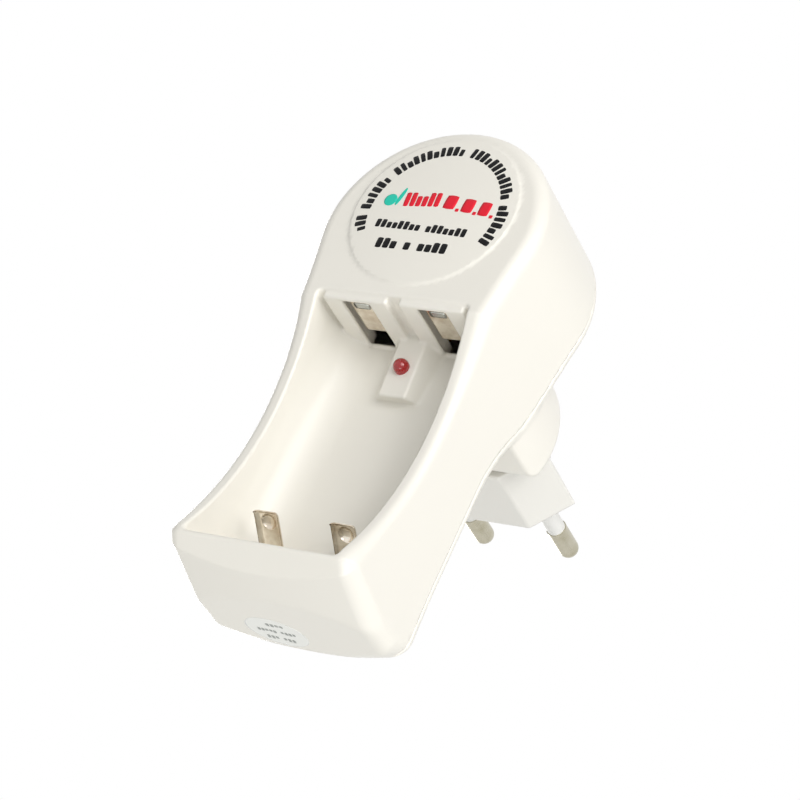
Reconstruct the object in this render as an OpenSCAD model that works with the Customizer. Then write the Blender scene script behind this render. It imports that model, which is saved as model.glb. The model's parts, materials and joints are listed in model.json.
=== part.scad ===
// Plug-in charger for two AA or AAA cells. The origin is the centre of the plug's face, +Y points
// into the wall, -Y is the front and +Z is up. All lengths are in millimetres.

/* [Body] */
// Width across the straight sides of the lower body
body_w = 36.8; // [36:0.2:40]
// Radius of the round head, seen from the front
head_r = 22.5; // [22:0.1:24]
// Height of the head's centre above the plug's axis
head_z = 20.5; // [19:0.5:22]
// Depth of the lower end below the plug's axis
drop = 56.3; // [55.5:0.1:60]
// Height at which the straight sides start to flare into the head
flare_z = -12; // [-16:1:-8]
// Distance from the plug's face to the flat front of the head
front_y = 56; // [55:0.5:58]
// Distance from the plug's face to the back of the head
back_head_y = 27; // [25:0.5:28]
// Distance from the plug's face to the back of the lower body
back_low_y = 31.5; // [30.5:0.1:32]
// Wall thickness of both shells
wall = 2; // [1.6:0.1:2.2]
// Width of the rear shell's rim, seen from the side
rim_w = 2.4; // [2.2:0.1:3]
// Radius of the head's rounded front edge
front_round = 3; // [1:0.5:4]
// Radius of the rear shell's rounded edge
back_round = 2.2; // [1:0.2:2.4]
// Radius of the lower corners, seen from the front
corner_r = 4.2; // [3:0.2:6]
// Radius of the gently curved lower end, seen from the front
crown_r = 87; // [60:1:120]
// Slope of the lower end, rising towards the front
end_tilt = 5.2; // [0:0.2:7]

/* [Label dome] */
// Radius of the raised round label field
dome_r = 16.6; // [14:0.2:17]
// Height of its centre above the plug's axis
dome_z = 23.4; // [22.5:0.1:24]
// Height of its middle above the head's front
dome_h = 0.95; // [0.6:0.05:1.5]
// Height of its edge above the head's front
dome_edge = 0.35; // [0.1:0.05:0.5]

/* [Battery bay] */
// Thickness of the bay's side walls
side_wall = 2.6; // [2.2:0.1:3]
// Distance between the two cells' axes
cell_pitch = 16; // [15.5:0.1:16.5]
// Height of the bay's upper wall above the plug's axis
bay_top = 4.2; // [3:0.2:5]
// Length of the bay
bay_l = 54.4; // [53.6:0.2:55]
// Distance from the plug's face to the trough's floor
floor_y = 41; // [40.8:0.1:42]
// Radius of the scooped rims of the side walls
scoop_r = 56.5; // [50:0.5:65]
// Distance from the plug's face to the lowest place of the rims
scoop_y = 51.2; // [50:0.2:52.5]
// Height of that lowest place
scoop_z = -20; // [-24:1:-16]
// Radius of the rounded outer edge of the rims
scoop_round = 2; // [0.6:0.2:2.4]
// Least flat left beside the bay where the rims meet the head's front
rim_flat = 1; // [1:0.1:1.4]
// Distance from the plug's face to the lip at the lower end
lip_y = 59.7; // [58.6:0.1:60]
// Height of the lip's slanted band
lip_h = 2.9; // [2:0.1:3.2]
// Depth of the lip's slanted band
lip_d = 4.2; // [3:0.1:5]
// Radius of the lip's rounded edges
lip_round = 1.4; // [0.4:0.1:1.4]

/* [Contacts] */
// How far the contact frames stand out of the upper wall
frame_h = 1.4; // [1:0.1:2]
// Width of one contact frame
frame_w = 13.4; // [11:0.2:14]
// Width of the window in a contact frame
window_w = 5.8; // [5.6:0.1:7]
// Thickness of the contact sheet
sheet = 0.4; // [0.3:0.05:0.5]
// Width of the positive contact's leaf
leaf_w = 4.5; // [3.5:0.1:5]
// How far the leaf lies behind the face of its frame
leaf_recess = 1.1; // [0.8:0.1:1.4]
// Width of a negative flap
flap_w = 5; // [4.5:0.1:5.4]
// Length of a negative flap from its hinge
flap_l = 13.2; // [12:0.1:13.4]
// Slope of a negative flap at rest
flap_lean = 29.6; // [27:0.2:32]
// Depth of the hinge below the trough's floor
hinge_depth = 1.4; // [1.2:0.1:1.6]
// Height of the hinge above the bay's lower wall
hinge_rise = 3.5; // [3.3:0.1:4]
// Diameter of the hinge pins
hinge_d = 1.5; // [1:0.1:1.6]

/* [Indicator] */
// Diameter of the indicator lamp
led_d = 3; // [3:0.1:3.4]
// Height of the lamp below the bay's upper wall
led_drop = 7.1; // [6:0.1:8]
// Distance from the plug's face to the lamp's tip
led_tip_y = 46.2; // [45.8:0.1:47]

/* [Plug] */
// Diameter of the plug's pins
pin_d = 4; // [3.8:0.1:4.2]
// Distance between the pins' axes
pin_pitch = 19; // [18:0.5:19]
// Length of the pins in front of the plug's face
pin_l = 19; // [18:0.5:20]
// Length of the insulating sleeves
sleeve_l = 10; // [8:0.5:12]
// Width of the six-sided plug block
plug_w = 35.4; // [34:0.2:36]
// Thickness of the plug block
plug_t = 13.8; // [13:0.1:14]
// Length of the plug block behind its face
plug_l = 15.5; // [14:0.5:16]
// Radius of the round boss that carries the plug block
boss_r = 19.6; // [19:0.1:20]
// Depth of the boss's flat underside below the plug's axis
boss_flat = 7; // [7:0.1:8]
// Distance from the plug's face to the back of the boss
boss_y = 17; // [16.5:0.1:18]

/* [Transformer] */
// Width of the core
core_w = 28; // [26:0.5:28]
// Height of the core
core_h = 23.5; // [22:0.5:24]
// Thickness of the core's stack of sheets
core_t = 11; // [9:0.5:12]
// Height of the core's centre above the head's centre
core_rise = 2.5; // [2:0.1:3]
// Width of the core's outer legs
leg_w = 4.5; // [4:0.1:5]
// Thickness of the bobbin's walls
bobbin_wall = 0.8; // [0.6:0.1:1]

/* [Board and screws] */
// Width of the circuit board
board_w = 21; // [19:0.5:21]
// Length of the circuit board
board_l = 42; // [38:0.5:43]
// Thickness of the circuit board
board_t = 1.6; // [1:0.2:1.6]
// Diameter of the screw's thread
screw_d = 2.2; // [2:0.1:2.6]
// Diameter of the screw's head
screw_head_d = 4.2; // [3.8:0.1:4.4]
// Length of the screws under the head
screw_l = 6.8; // [6:0.1:7]

/* [Hidden] */
$fn = 48;

// Colours
shell_colour = "ivory";
metal_colour = "silver";

// Clearances
fit_gap = 0.03;
run_gap = 0.06;
part_gap = 0.4;
lap_gap = 0.15;
beyond = 60;
rounding_strips = 5;
rounding_over = 0.1;

// Outline of the body
half_w = body_w / 2;
flare_dz = head_z - flare_z;
neck_r = (half_w * half_w + flare_dz * flare_dz - head_r * head_r) / (2 * (head_r - half_w));
neck_x = half_w + neck_r;
neck_angle = atan2(flare_dz, neck_x);
tangent_z = head_z - head_r * sin(neck_angle);
tangent_x = head_r * cos(neck_angle);
crown_z = -drop + crown_r;
corner_x = half_w - corner_r;
corner_z = crown_z - sqrt(pow(crown_r - corner_r, 2) - corner_x * corner_x);
crown_angle = atan2(corner_x, crown_z - corner_z);
low_join_z = flare_z - 16;

// Step in the back between the lower body and the head
step_low_z = -20;
step_high_z = 5;
step_d = back_low_y - back_head_y;
step_l = step_high_z - step_low_z;
step_r = (step_l * step_l + step_d * step_d) / (4 * step_d);
step_angle = atan2(step_l / 2, step_r - step_d / 2);

// Bay
bay_w = body_w - 2 * side_wall;
bay_low = bay_top - bay_l;
cell_x = cell_pitch / 2;
trough_r = bay_w / 2 - cell_x;
trough_y = -(floor_y + trough_r);
scoop_centre_y = -(scoop_y + scoop_r);

// Contact frames and windows
frame_face_z = bay_top - frame_h;
frame_front_y = -front_y + 0.5;
window_front_y = frame_front_y + 0.6;
window_back_y = -floor_y + 0.4;
leaf_z = frame_face_z + leaf_recess;
contact_back_z = bay_top + wall;
contact_plate_w = window_w + 3.2;

// Ridge that carries the indicator lamp
ridge_front_y = -floor_y - 4;
ridge_low_y = -floor_y - 2.7;
ridge_low_z = bay_top - 12.5;
ridge_half_w = 2.7;
ridge_base_w = 6.2;
led_z = bay_top - led_drop;

// Flap hinges
hinge_y = -floor_y + hinge_depth;
hinge_z = bay_low + hinge_rise;
barrel_r = hinge_d / 2 + run_gap + 0.5;
slot_half_w = flap_w / 2 + part_gap;
slot_high_z = hinge_z + 2.7;
slot_low_z = hinge_z - 1.9;
cheek_w = 1.5;
cheek_r = 1.35;
hinge_pin_l = 2 * (slot_half_w + cheek_w) - 0.2;
flange_h = 1.3;
flange_start = 3;
dimple_at = flap_l - 2.2;
dimple_r = 1.8;
dimple_h = 0.6;

// Flap springs
wire_r = 0.2;
spring_r = hinge_d / 2 + wire_r + 0.12;
spring_turns = 3;
spring_pitch = 2 * wire_r + 0.05;
spring_steps = 14;
spring_leg_at = flange_start + 1.6;
spring_leg_l = 4.7;

// Plug
plug_corner_x = 0.6 * plug_w / 2;
collar_over = 0.7;
plug_neck_w = 30;
plug_neck_t = 9;
hook_out = 0.7;
hook_l = 1.2;
pin_core_r = 1.5;
pin_tag_l = 4;
sleeve_r = pin_d / 2 - 0.2;
sleeve_root = 2;

// Transformer
core_y = -(front_y + back_head_y) / 2;
core_z = head_z + core_rise;
window_core_h = core_h - 2 * leg_w;
centre_leg_w = 8;
window_core_w = (core_w - 2 * leg_w - centre_leg_w) / 2;
winding_build = window_core_w - bobbin_wall - 0.4;
bobbin_gap = 0.1;
bobbin_h = window_core_h - 2 * bobbin_gap;
secondary_h = (bobbin_h - 3 * bobbin_wall) * 0.38;
primary_h = (bobbin_h - 3 * bobbin_wall) * 0.62;
bobbin_low_z = core_z - bobbin_h / 2;
core_rib_x = core_w / 2 - leg_w / 2;
core_rib_t = 3;
core_rib_h = 14;

// Circuit board
board_back_y = -back_low_y - wall - 0.6;
board_front_y = board_back_y - board_t;
board_top_z = bay_top - 2.7;
board_low_z = board_top_z - board_l;
post_r = 2;
post_pin_r = 1;
post_z = [board_top_z - board_l / 3, board_low_z + board_l / 6];

// Screws
pillar_r = 2.4;
screw_head_h = 1.4;
cover_pad = 2.2;
low_screw_x = half_w - wall - pillar_r - 0.6;
low_screw_z = board_low_z + 4;
top_screw_z = head_z + head_r - wall - 2.2;
pilot_r = screw_d / 2 - fit_gap;

// Small parts on the board
part_lead_r = 0.3;
lead_hole_r = 0.42;
diode_d = 2.6;
diode_l = 5;
resistor_d = 2.2;
resistor_l = 6;
lead_out = 1.4;
parts_y = board_front_y - diode_d / 2 - 0.15;
lamp_lead_pitch = 2.54;

// Wires
wire_cover_r = 0.55;
wire_gap = 0.15;
wire_steps = 10;
wire_sides = 8;

// Solids of an outline drawn in the plane of X and Z, between two places on Y
module extrude_y(y0, y1) {
    translate([0, y1, 0])
        rotate([90, 0, 0])
            linear_extrude(y1 - y0)
                children();
}

// Solids of a side view drawn in the plane of Y and Z, centred on X
module extrude_x(w) {
    rotate([90, 0, 90])
        linear_extrude(w, center = true)
            children();
}

// Ring about the plug's axis; the profile is drawn as radius and distance to the front
module ring() {
    rotate([90, 0, 0])
        rotate_extrude($fn = 120)
            children();
}

// Both halves of something drawn on the right
module both_sides() {
    children();
    mirror([1, 0, 0])
        children();
}

// What is cut from a square corner at [0, 0] to round it, with the body towards -X and -Y
module corner_cut(r) {
    translate([-r, -r])
        difference() {
            square([r + 4, r + 4]);
            circle(r);
        }
}

// Front view of the head and the flaring sides, drawn inwards by i
module upper_outline(i) {
    translate([0, head_z])
        circle(head_r - i, $fn = 160);
    difference() {
        translate([-tangent_x, flare_z])
            square([2 * tangent_x, tangent_z - flare_z]);
        for (s = [-1, 1])
            translate([s * neck_x, flare_z])
                circle(neck_r + i, $fn = 360);
    }
    translate([-half_w + i, low_join_z])
        square([body_w - 2 * i, flare_z - low_join_z + 0.01]);
}

// Front view of the lower body with its rounded corners, drawn inwards by i
module lower_outline(i) {
    reach = 1.2 * crown_r;
    translate([-half_w + i, corner_z])
        square([body_w - 2 * i, low_join_z - corner_z + 4]);
    for (s = [-1, 1])
        translate([s * corner_x, corner_z])
            circle(corner_r - i);
    intersection() {
        translate([0, crown_z])
            circle(crown_r - i, $fn = 360);
        polygon([
            [0, crown_z],
            [reach * sin(crown_angle), crown_z - reach * cos(crown_angle)],
            [-reach * sin(crown_angle), crown_z - reach * cos(crown_angle)]
        ]);
    }
}

// Turn of the lower end about the body's lower back edge
module tilt_end() {
    translate([0, -back_low_y, -drop])
        rotate([-end_tilt, 0, 0])
            translate([0, back_low_y, drop])
                children();
}

// Body of full depth, drawn inwards by i
module body_block(i) {
    extrude_y(-lip_y - 1, -back_head_y)
        upper_outline(i);
    tilt_end()
        extrude_y(-lip_y - 8, -back_head_y)
            lower_outline(i);
}

// Points of an arc about c from angle a0 to a1
function arc_points(c, r, a0, a1, n) = [
    for (k = [0 : n]) c + r * [cos(a0 + (a1 - a0) * k / n), sin(a0 + (a1 - a0) * k / n)]
];

// Side view of everything in front of the back, moved forward by d
module behind_cut(d) {
    low_centre = [-back_low_y + step_r, step_low_z];
    high_centre = [-back_head_y - step_r, step_high_z];
    translate([-d, 0])
        polygon(concat(
            [[-3 * beyond, -2 * beyond], [-back_low_y, -2 * beyond]],
            arc_points(low_centre, step_r, 180, 180 - step_angle, 8),
            arc_points(high_centre, step_r, -step_angle * 7 / 8, 0, 7),
            [[-back_head_y, 2 * beyond], [-3 * beyond, 2 * beyond]]
        ));
}

// Side view of the front: the flat head, the scooped rims and the slanted lip
module front_profile() {
    band = atan2(lip_d, lip_h);
    soft = lip_round * tan((90 - band) / 2 + 22.5);
    top_edge = [-lip_y + lip_round, bay_low - 0.4];
    low_edge = [-lip_y + lip_d, bay_low - 0.9 - lip_h];
    difference() {
        polygon(concat(
            [[0, beyond], [-front_y, beyond], [-front_y, scoop_z], [-lip_y, scoop_z]],
            arc_points(top_edge, lip_round, 180, 180 + band, 6),
            [low_edge + [0, 0], low_edge + [soft, -soft / 3]],
            [[low_edge[0] + soft, -2 * drop], [0, -2 * drop]]
        ));
        translate([scoop_centre_y, scoop_z])
            circle(scoop_r, $fn = 360);
    }
}

// Section of the battery trough, drawn outwards by o
module trough_section(o) {
    translate([-bay_w / 2 - o, -2 * beyond])
        square([bay_w + 2 * o, 2 * beyond + trough_y]);
    for (s = [-1, 1])
        translate([s * cell_x, trough_y])
            circle(trough_r + o, $fn = 96);
    translate([-cell_x, trough_y])
        square([2 * cell_x, trough_r + o]);
}

// Half the width of the body at height z, up to the head
function side_x(z) = z <= flare_z ? half_w : neck_x - sqrt(neck_r * neck_r - pow(z - flare_z, 2));

// Lean of the side's normal at height z
function side_lean(z) = z <= flare_z ? 0 : asin((z - flare_z) / neck_r);

// Section of the cut that rounds an edge, drawn across it: the body lies towards -X and -Y. The
// first and last strips run straight on through the body's two faces.
function rounding_section(r) = let (
    n = rounding_strips,
    turn = 90 / n,
    arc = [for (k = [0 : n]) r * [cos(turn * k) - 1, sin(turn * k) - 1]],
    first = arc[0] + (arc[0] - arc[1]) * rounding_over / (arc[0][0] - arc[1][0]),
    last = arc[n] + (arc[n] - arc[n - 1]) * rounding_over / (arc[n][1] - arc[n - 1][1])
) concat([first], [for (k = [1 : n - 1]) arc[k]], [last, [2, 2]]);

// One place on a rounded edge: the point, the side's normal, the face's normal and the radius
function head_place(a, y, facing, r) = [
    [head_r * cos(a), y, head_z + head_r * sin(a)], [cos(a), 0, sin(a)], [0, facing, 0], r
];

function side_place(y, z, slope, facing, r) = [
    [side_x(z), y, z], [cos(side_lean(z)), 0, -sin(side_lean(z))],
    [0, facing * cos(slope), facing * sin(slope)], r
];

function mirrored(places) = [
    for (k = [len(places) - 1 : -1 : 0])
        let (p = places[k])
        [[-p[0][0], p[0][1], p[0][2]], [-p[1][0], p[1][1], p[1][2]], p[2], p[3]]
];

// Solid that rounds an edge along its places; a closed one runs round the whole body
module edge_rounding(places, closed) {
    m = rounding_strips + 2;
    n = len(places);
    points = [
        for (p = places)
            each [for (q = rounding_section(p[3])) p[0] + q[0] * p[1] + q[1] * p[2]]
    ];
    walls = [
        for (k = [0 : closed ? n - 1 : n - 2], j = [0 : m - 1])
            let (a = k * m, b = (k + 1) % n * m, i = (j + 1) % m)
            each [[a + j, b + j, b + i], [a + j, b + i, a + i]]
    ];
    ends = closed ? [] : [
        [for (j = [0 : m - 1]) j],
        [for (j = [0 : m - 1]) (n - 1) * m + m - 1 - j]
    ];
    polyhedron(points, concat(walls, ends), convexity = 8);
}

// Rounds the front edge: up from the lip along one scooped rim, round the head and down again
module front_rounding() {
    head_steps = 34;
    scoop_steps = 16;
    neck_steps = 4;
    soft = 1.2;
    low_angle = -acos((scoop_r - lip_y + scoop_y) / scoop_r);
    high_angle = acos((scoop_r - front_y + scoop_y) / scoop_r);
    lip_z = scoop_z + scoop_r * sin(low_angle);
    crease_z = scoop_z + scoop_r * sin(high_angle);
    rise = high_angle - low_angle - 2 * soft;
    crease_round = min(front_round, side_x(crease_z) - bay_w / 2 - rim_flat);
    lip = [
        side_place(-lip_y, -drop - lip_h, 0, -1, scoop_round),
        side_place(-lip_y, lip_z - soft, 0, -1, scoop_round),
        side_place(-lip_y, lip_z, low_angle / 2, -1, scoop_round)
    ];
    rims = [
        for (k = [0 : scoop_steps])
            let (a = low_angle + soft + rise * k / scoop_steps)
            side_place(
                scoop_centre_y + scoop_r * cos(a), scoop_z + scoop_r * sin(a), a, -1,
                scoop_round + (crease_round - scoop_round) * max(0, a) / high_angle
            )
    ];
    crease = side_place(-front_y + 0.05, crease_z, high_angle / 2, -1, crease_round);
    neck = [
        for (k = [0 : neck_steps - 1])
            let (z = crease_z + soft + (tangent_z - crease_z - soft) * k / neck_steps)
            side_place(-front_y, z, 0, -1, front_round)
    ];
    head = [
        for (k = [0 : head_steps])
            head_place(-neck_angle + (90 + neck_angle) * k / head_steps, -front_y, -1, front_round)
    ];
    right = concat(lip, rims, [crease], neck, head);
    left = mirrored(right);
    edge_rounding(concat(right, [for (k = [1 : len(left) - 1]) left[k]]), false);
}

// Rounds the whole back edge, down the step between the head and the lower body
module back_rounding() {
    head_steps = 34;
    neck_steps = 4;
    step_steps = 8;
    corner_steps = 6;
    crown_steps = 5;
    r = back_round;
    head = [
        for (k = [0 : head_steps])
            head_place(90 - (90 + neck_angle) * k / head_steps, -back_head_y, 1, r)
    ];
    neck = [
        for (k = [1 : neck_steps - 1])
            side_place(-back_head_y, tangent_z + (step_high_z - tangent_z) * k / neck_steps, 0, 1, r)
    ];
    high = [
        for (k = [0 : step_steps])
            let (a = -step_angle * k / step_steps)
            side_place(
                -back_head_y - step_r + step_r * cos(a), step_high_z + step_r * sin(a), a, 1, r
            )
    ];
    low = [
        for (k = [1 : step_steps])
            let (a = -step_angle * (1 - k / step_steps))
            side_place(-back_low_y + step_r - step_r * cos(a), step_low_z - step_r * sin(a), a, 1, r)
    ];
    corner = [
        for (k = [0 : corner_steps])
            let (a = -(90 - crown_angle) * k / corner_steps)
            [
                [corner_x + corner_r * cos(a), -back_low_y, corner_z + corner_r * sin(a)],
                [cos(a), 0, sin(a)], [0, 1, tan(end_tilt) * sin(a)], r
            ]
    ];
    crown = [
        for (k = [1 : crown_steps])
            let (a = crown_angle * (1 - k / crown_steps))
            [
                [crown_r * sin(a), -back_low_y, crown_z - crown_r * cos(a)],
                [sin(a), 0, -cos(a)], [0, 1, -tan(end_tilt)], r
            ]
    ];
    right = concat(head, neck, high, low, corner, crown);
    left = mirrored(right);
    edge_rounding(concat(right, [for (k = [1 : len(left) - 2]) left[k]]), true);
}

// Raised round field on the head's front
module label_dome() {
    bulge = dome_h - dome_edge;
    ball_r = (dome_r * dome_r + bulge * bulge) / (2 * bulge);
    translate([0, -front_y, dome_z])
        rotate([90, 0, 0])
            rotate_extrude($fn = 120)
                intersection() {
                    translate([0, -1])
                        square([dome_r, 1 + dome_h]);
                    translate([0, dome_h - ball_r])
                        circle(ball_r, $fn = 720);
                }
}

// Frame round one positive contact, on the right
module contact_frame() {
    translate([cell_x - frame_w / 2, frame_front_y, frame_face_z])
        cube([frame_w, -floor_y - frame_front_y, frame_h + 1]);
}

// Opening in a frame and in the wall behind it, on the right
module contact_window() {
    translate([cell_x - window_w / 2, window_front_y, frame_face_z - 1])
        cube([window_w, window_back_y - window_front_y, frame_h + wall + 2]);
}

// Ridge between the cells that carries the lamp
module lamp_ridge() {
    slice = 0.01;
    hull() {
        translate([0, 0, bay_top])
            linear_extrude(slice)
                polygon([
                    [-ridge_half_w, ridge_front_y], [ridge_half_w, ridge_front_y],
                    [ridge_base_w, -floor_y + 1], [-ridge_base_w, -floor_y + 1]
                ]);
        translate([0, 0, ridge_low_z])
            linear_extrude(slice)
                polygon([
                    [-ridge_half_w, ridge_low_y], [ridge_half_w, ridge_low_y],
                    [ridge_base_w, -floor_y + 1], [-ridge_base_w, -floor_y + 1]
                ]);
    }
}

// Low rounded ridge between the flaps
module hinge_ridge() {
    round_r = 5;
    height = 1.8;
    top_z = bay_low + 10.4;
    intersection() {
        translate([-cell_x, -floor_y - height - 1, bay_low - 1])
            cube([2 * cell_x, height + 2, bay_l / 2]);
        translate([0, -floor_y - height + round_r, 0])
            union() {
                translate([0, 0, bay_low - 1])
                    cylinder(r = round_r, h = top_z - round_r - bay_low + 1);
                translate([0, 0, top_z - round_r])
                    sphere(round_r);
            }
    }
}

// Two cheeks under the floor that hold one hinge pin, on the right
module hinge_cheeks() {
    for (s = [-1, 1])
        translate([cell_x + s * (slot_half_w + cheek_w / 2), 0, 0]) {
            translate([-cheek_w / 2, hinge_y, hinge_z])
                rotate([0, 90, 0])
                    cylinder(r = cheek_r, h = cheek_w);
            translate([-cheek_w / 2, -floor_y, hinge_z - cheek_r])
                cube([cheek_w, hinge_y + floor_y, 2 * cheek_r]);
        }
}

// Slot in the floor for one flap with the hinge pin's bore, on the right
module hinge_cut() {
    translate([cell_x - slot_half_w, -floor_y - 3, slot_low_z])
        cube([2 * slot_half_w, 3 + wall + 2, slot_high_z - slot_low_z]);
    translate([cell_x, hinge_y, hinge_z])
        rotate([0, 90, 0])
            cylinder(d = hinge_d + 2 * fit_gap, h = hinge_pin_l + 0.2, center = true);
}

// Posts that carry the board and the pillars for the three screws
module inner_posts() {
    for (z = post_z)
        translate([0, board_back_y + 0.3, z])
            rotate([90, 0, 0]) {
                cylinder(r = post_pin_r, h = 6);
                translate([0, 0, board_t + 0.3])
                    cylinder(r = post_r, h = floor_y + board_front_y - wall / 2);
            }
    both_sides()
        translate([low_screw_x, -back_low_y - wall - cover_pad, low_screw_z])
            rotate([90, 0, 0])
                cylinder(r = pillar_r, h = floor_y - back_low_y - wall - cover_pad - part_gap);
    translate([0, -back_head_y - wall - cover_pad, top_screw_z])
        rotate([90, 0, 0])
            cylinder(r = pillar_r, h = front_y - back_head_y - wall - cover_pad - 1);
    both_sides()
        translate([core_rib_x - core_rib_t / 2, -front_y + 1, core_z - core_rib_h / 2])
            cube([core_rib_t, front_y - 1 + core_y - core_t / 2, core_rib_h]);
}

// Pilot holes for the three screws
module pilot_holes() {
    both_sides()
        translate([low_screw_x, -back_low_y - wall + 1, low_screw_z])
            rotate([90, 0, 0])
                cylinder(r = pilot_r, h = screw_l + 1.4);
    translate([0, -back_head_y - wall + 1, top_screw_z])
        rotate([90, 0, 0])
            cylinder(r = pilot_r, h = screw_l + 1.4);
}

// Front moulding with the head, the battery bay and the lip
module front_shell() {
    color(shell_colour)
        difference() {
            union() {
                difference() {
                    intersection() {
                        body_block(0);
                        extrude_x(3 * beyond)
                            intersection() {
                                front_profile();
                                behind_cut(rim_w);
                            }
                    }
                    front_rounding();
                    difference() {
                        intersection() {
                            body_block(wall);
                            translate([-beyond, -front_y + wall, -beyond])
                                cube([2 * beyond, beyond, 2 * beyond]);
                        }
                        translate([0, 0, -beyond])
                            linear_extrude(beyond + bay_top + wall)
                                trough_section(wall);
                    }
                    translate([0, 0, bay_low])
                        linear_extrude(bay_l)
                            trough_section(0);
                }
                label_dome();
                both_sides()
                    contact_frame();
                lamp_ridge();
                hinge_ridge();
                both_sides()
                    hinge_cheeks();
                inner_posts();
            }
            both_sides() {
                contact_window();
                hinge_cut();
            }
            pilot_holes();
            translate([0, -floor_y + wall + 1, led_z])
                rotate([90, 0, 0])
                    cylinder(d = led_d + 0.2, h = 12);
        }
}

// Six-sided section of the plug block, drawn outwards by ox and oz
module plug_section(ox, oz) {
    w = plug_w / 2 + ox;
    t = plug_t / 2 + oz;
    polygon([
        [w, 0], [plug_corner_x, t], [-plug_corner_x, t],
        [-w, 0], [-plug_corner_x, -t], [plug_corner_x, -t]
    ]);
}

// Round boss with its flat underside, drawn inwards by i
module boss(i, y0) {
    r = boss_r - i;
    flat_z = -boss_flat + i;
    edge = 1.5;
    under_edge = 4;
    difference() {
        translate([0, y0, 0])
            rotate([-90, 0, 0])
                cylinder(r = r, h = -boss_y - i - y0, $fn = 120);
        translate([-beyond, y0 - 1, -2 * beyond])
            cube([2 * beyond, beyond, 2 * beyond + flat_z]);
        ring()
            translate([r, boss_y + i])
                mirror([0, 1])
                    corner_cut(edge);
        extrude_x(3 * r)
            translate([-boss_y - i, flat_z])
                mirror([0, 1])
                    corner_cut(under_edge - i);
    }
}

// Rear moulding: the cover, the boss for the plug block and the screw holes
module rear_shell() {
    lap_d = 1.5;
    lap_t = 0.9;
    color(shell_colour)
        difference() {
            union() {
                difference() {
                    intersection() {
                        body_block(0);
                        extrude_x(3 * beyond)
                            difference() {
                                behind_cut(0);
                                behind_cut(rim_w);
                            }
                    }
                    back_rounding();
                    intersection() {
                        body_block(wall);
                        extrude_x(3 * beyond)
                            behind_cut(wall);
                    }
                }
                intersection() {
                    difference() {
                        body_block(wall + lap_gap);
                        body_block(wall + lap_gap + lap_t);
                    }
                    extrude_x(3 * beyond)
                        difference() {
                            behind_cut(wall);
                            behind_cut(rim_w + lap_d);
                        }
                }
                boss(0, -back_head_y - rim_w);
                both_sides()
                    translate([low_screw_x, -back_low_y - 1, low_screw_z])
                        rotate([90, 0, 0])
                            cylinder(r = pillar_r, h = wall + cover_pad - 1);
                translate([0, -back_head_y - 1, top_screw_z])
                    rotate([90, 0, 0])
                        cylinder(r = pillar_r, h = wall + cover_pad - 1);
                both_sides()
                    translate([core_rib_x - core_rib_t / 2, core_y + core_t / 2, core_z - core_rib_h / 2])
                        cube([core_rib_t, -back_head_y - 1 - core_y - core_t / 2, core_rib_h]);
            }
            intersection() {
                boss(wall, -back_head_y - 8);
                translate([-beyond, -back_head_y - 5, -beyond])
                    cube([2 * beyond, beyond, 2 * beyond]);
            }
            both_sides()
                screw_recess(low_screw_x, -back_low_y, low_screw_z);
            screw_recess(0, -back_head_y, top_screw_z);
            translate([-plug_neck_w / 2 - lap_gap, -boss_y - wall - 1, -plug_neck_t / 2 - lap_gap])
                cube([plug_neck_w + 2 * lap_gap, wall + 2, plug_neck_t + 2 * lap_gap]);
        }
}

// Counterbored hole for one screw, from the cover's outer face at y
module screw_recess(x, y, z) {
    translate([x, y + 1, z])
        rotate([90, 0, 0]) {
            cylinder(d = screw_head_d + part_gap, h = 1 + wall);
            cylinder(d = screw_d + 0.2, h = 1 + wall + cover_pad + 1);
        }
}

// Six-sided plug block with its root collar and the neck that snaps into the boss
module plug_block() {
    neck_l = wall + hook_l + 0.4;
    color(shell_colour)
        difference() {
            union() {
                extrude_y(-plug_l, 0)
                    plug_section(0, 0);
                extrude_y(-boss_y, -plug_l)
                    plug_section(collar_over, boss_flat - plug_t / 2 - 0.02);
                translate([-plug_neck_w / 2, -boss_y - neck_l, -plug_neck_t / 2])
                    cube([plug_neck_w, neck_l, plug_neck_t]);
                for (s = [-1, 1])
                    translate([s * plug_neck_w / 2, -boss_y - wall - hook_l / 2 - 0.1, 0])
                        cube([2 * hook_out, hook_l, plug_neck_t - 2], center = true);
            }
            for (s = [-1, 1])
                translate([s * pin_pitch / 2, 0, 0]) {
                    translate([0, -beyond, 0])
                        rotate([-90, 0, 0])
                            cylinder(r = pin_core_r + fit_gap, h = 2 * beyond);
                    translate([0, -sleeve_root, 0])
                        rotate([-90, 0, 0])
                            cylinder(r = sleeve_r + fit_gap, h = sleeve_root + 1);
                }
        }
}

// Round plug pin with a thinner shank under its sleeve and a flat tag for the wire
module plug_pin(x) {
    tail_y = -boss_y - wall - hook_l - 1;
    tip_r = pin_d / 2;
    color(metal_colour)
        translate([x, 0, 0]) {
            translate([0, sleeve_l, 0])
                rotate([-90, 0, 0])
                    cylinder(r = tip_r, h = pin_l - tip_r - sleeve_l);
            translate([0, pin_l - tip_r, 0])
                sphere(tip_r);
            translate([0, tail_y, 0])
                rotate([-90, 0, 0])
                    cylinder(r = pin_core_r, h = sleeve_l - tail_y + 0.5);
            translate([-0.4, tail_y - pin_tag_l, -pin_core_r])
                cube([0.8, pin_tag_l + 1, 2 * pin_core_r]);
        }
}

// Insulating sleeve on the root of a plug pin
module pin_sleeve(x) {
    color("white")
        translate([x, -sleeve_root, 0])
            rotate([-90, 0, 0])
                difference() {
                    cylinder(r = sleeve_r, h = sleeve_root + sleeve_l);
                    translate([0, 0, -1])
                        cylinder(r = pin_core_r + fit_gap, h = sleeve_root + sleeve_l + 2);
                }
}

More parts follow.
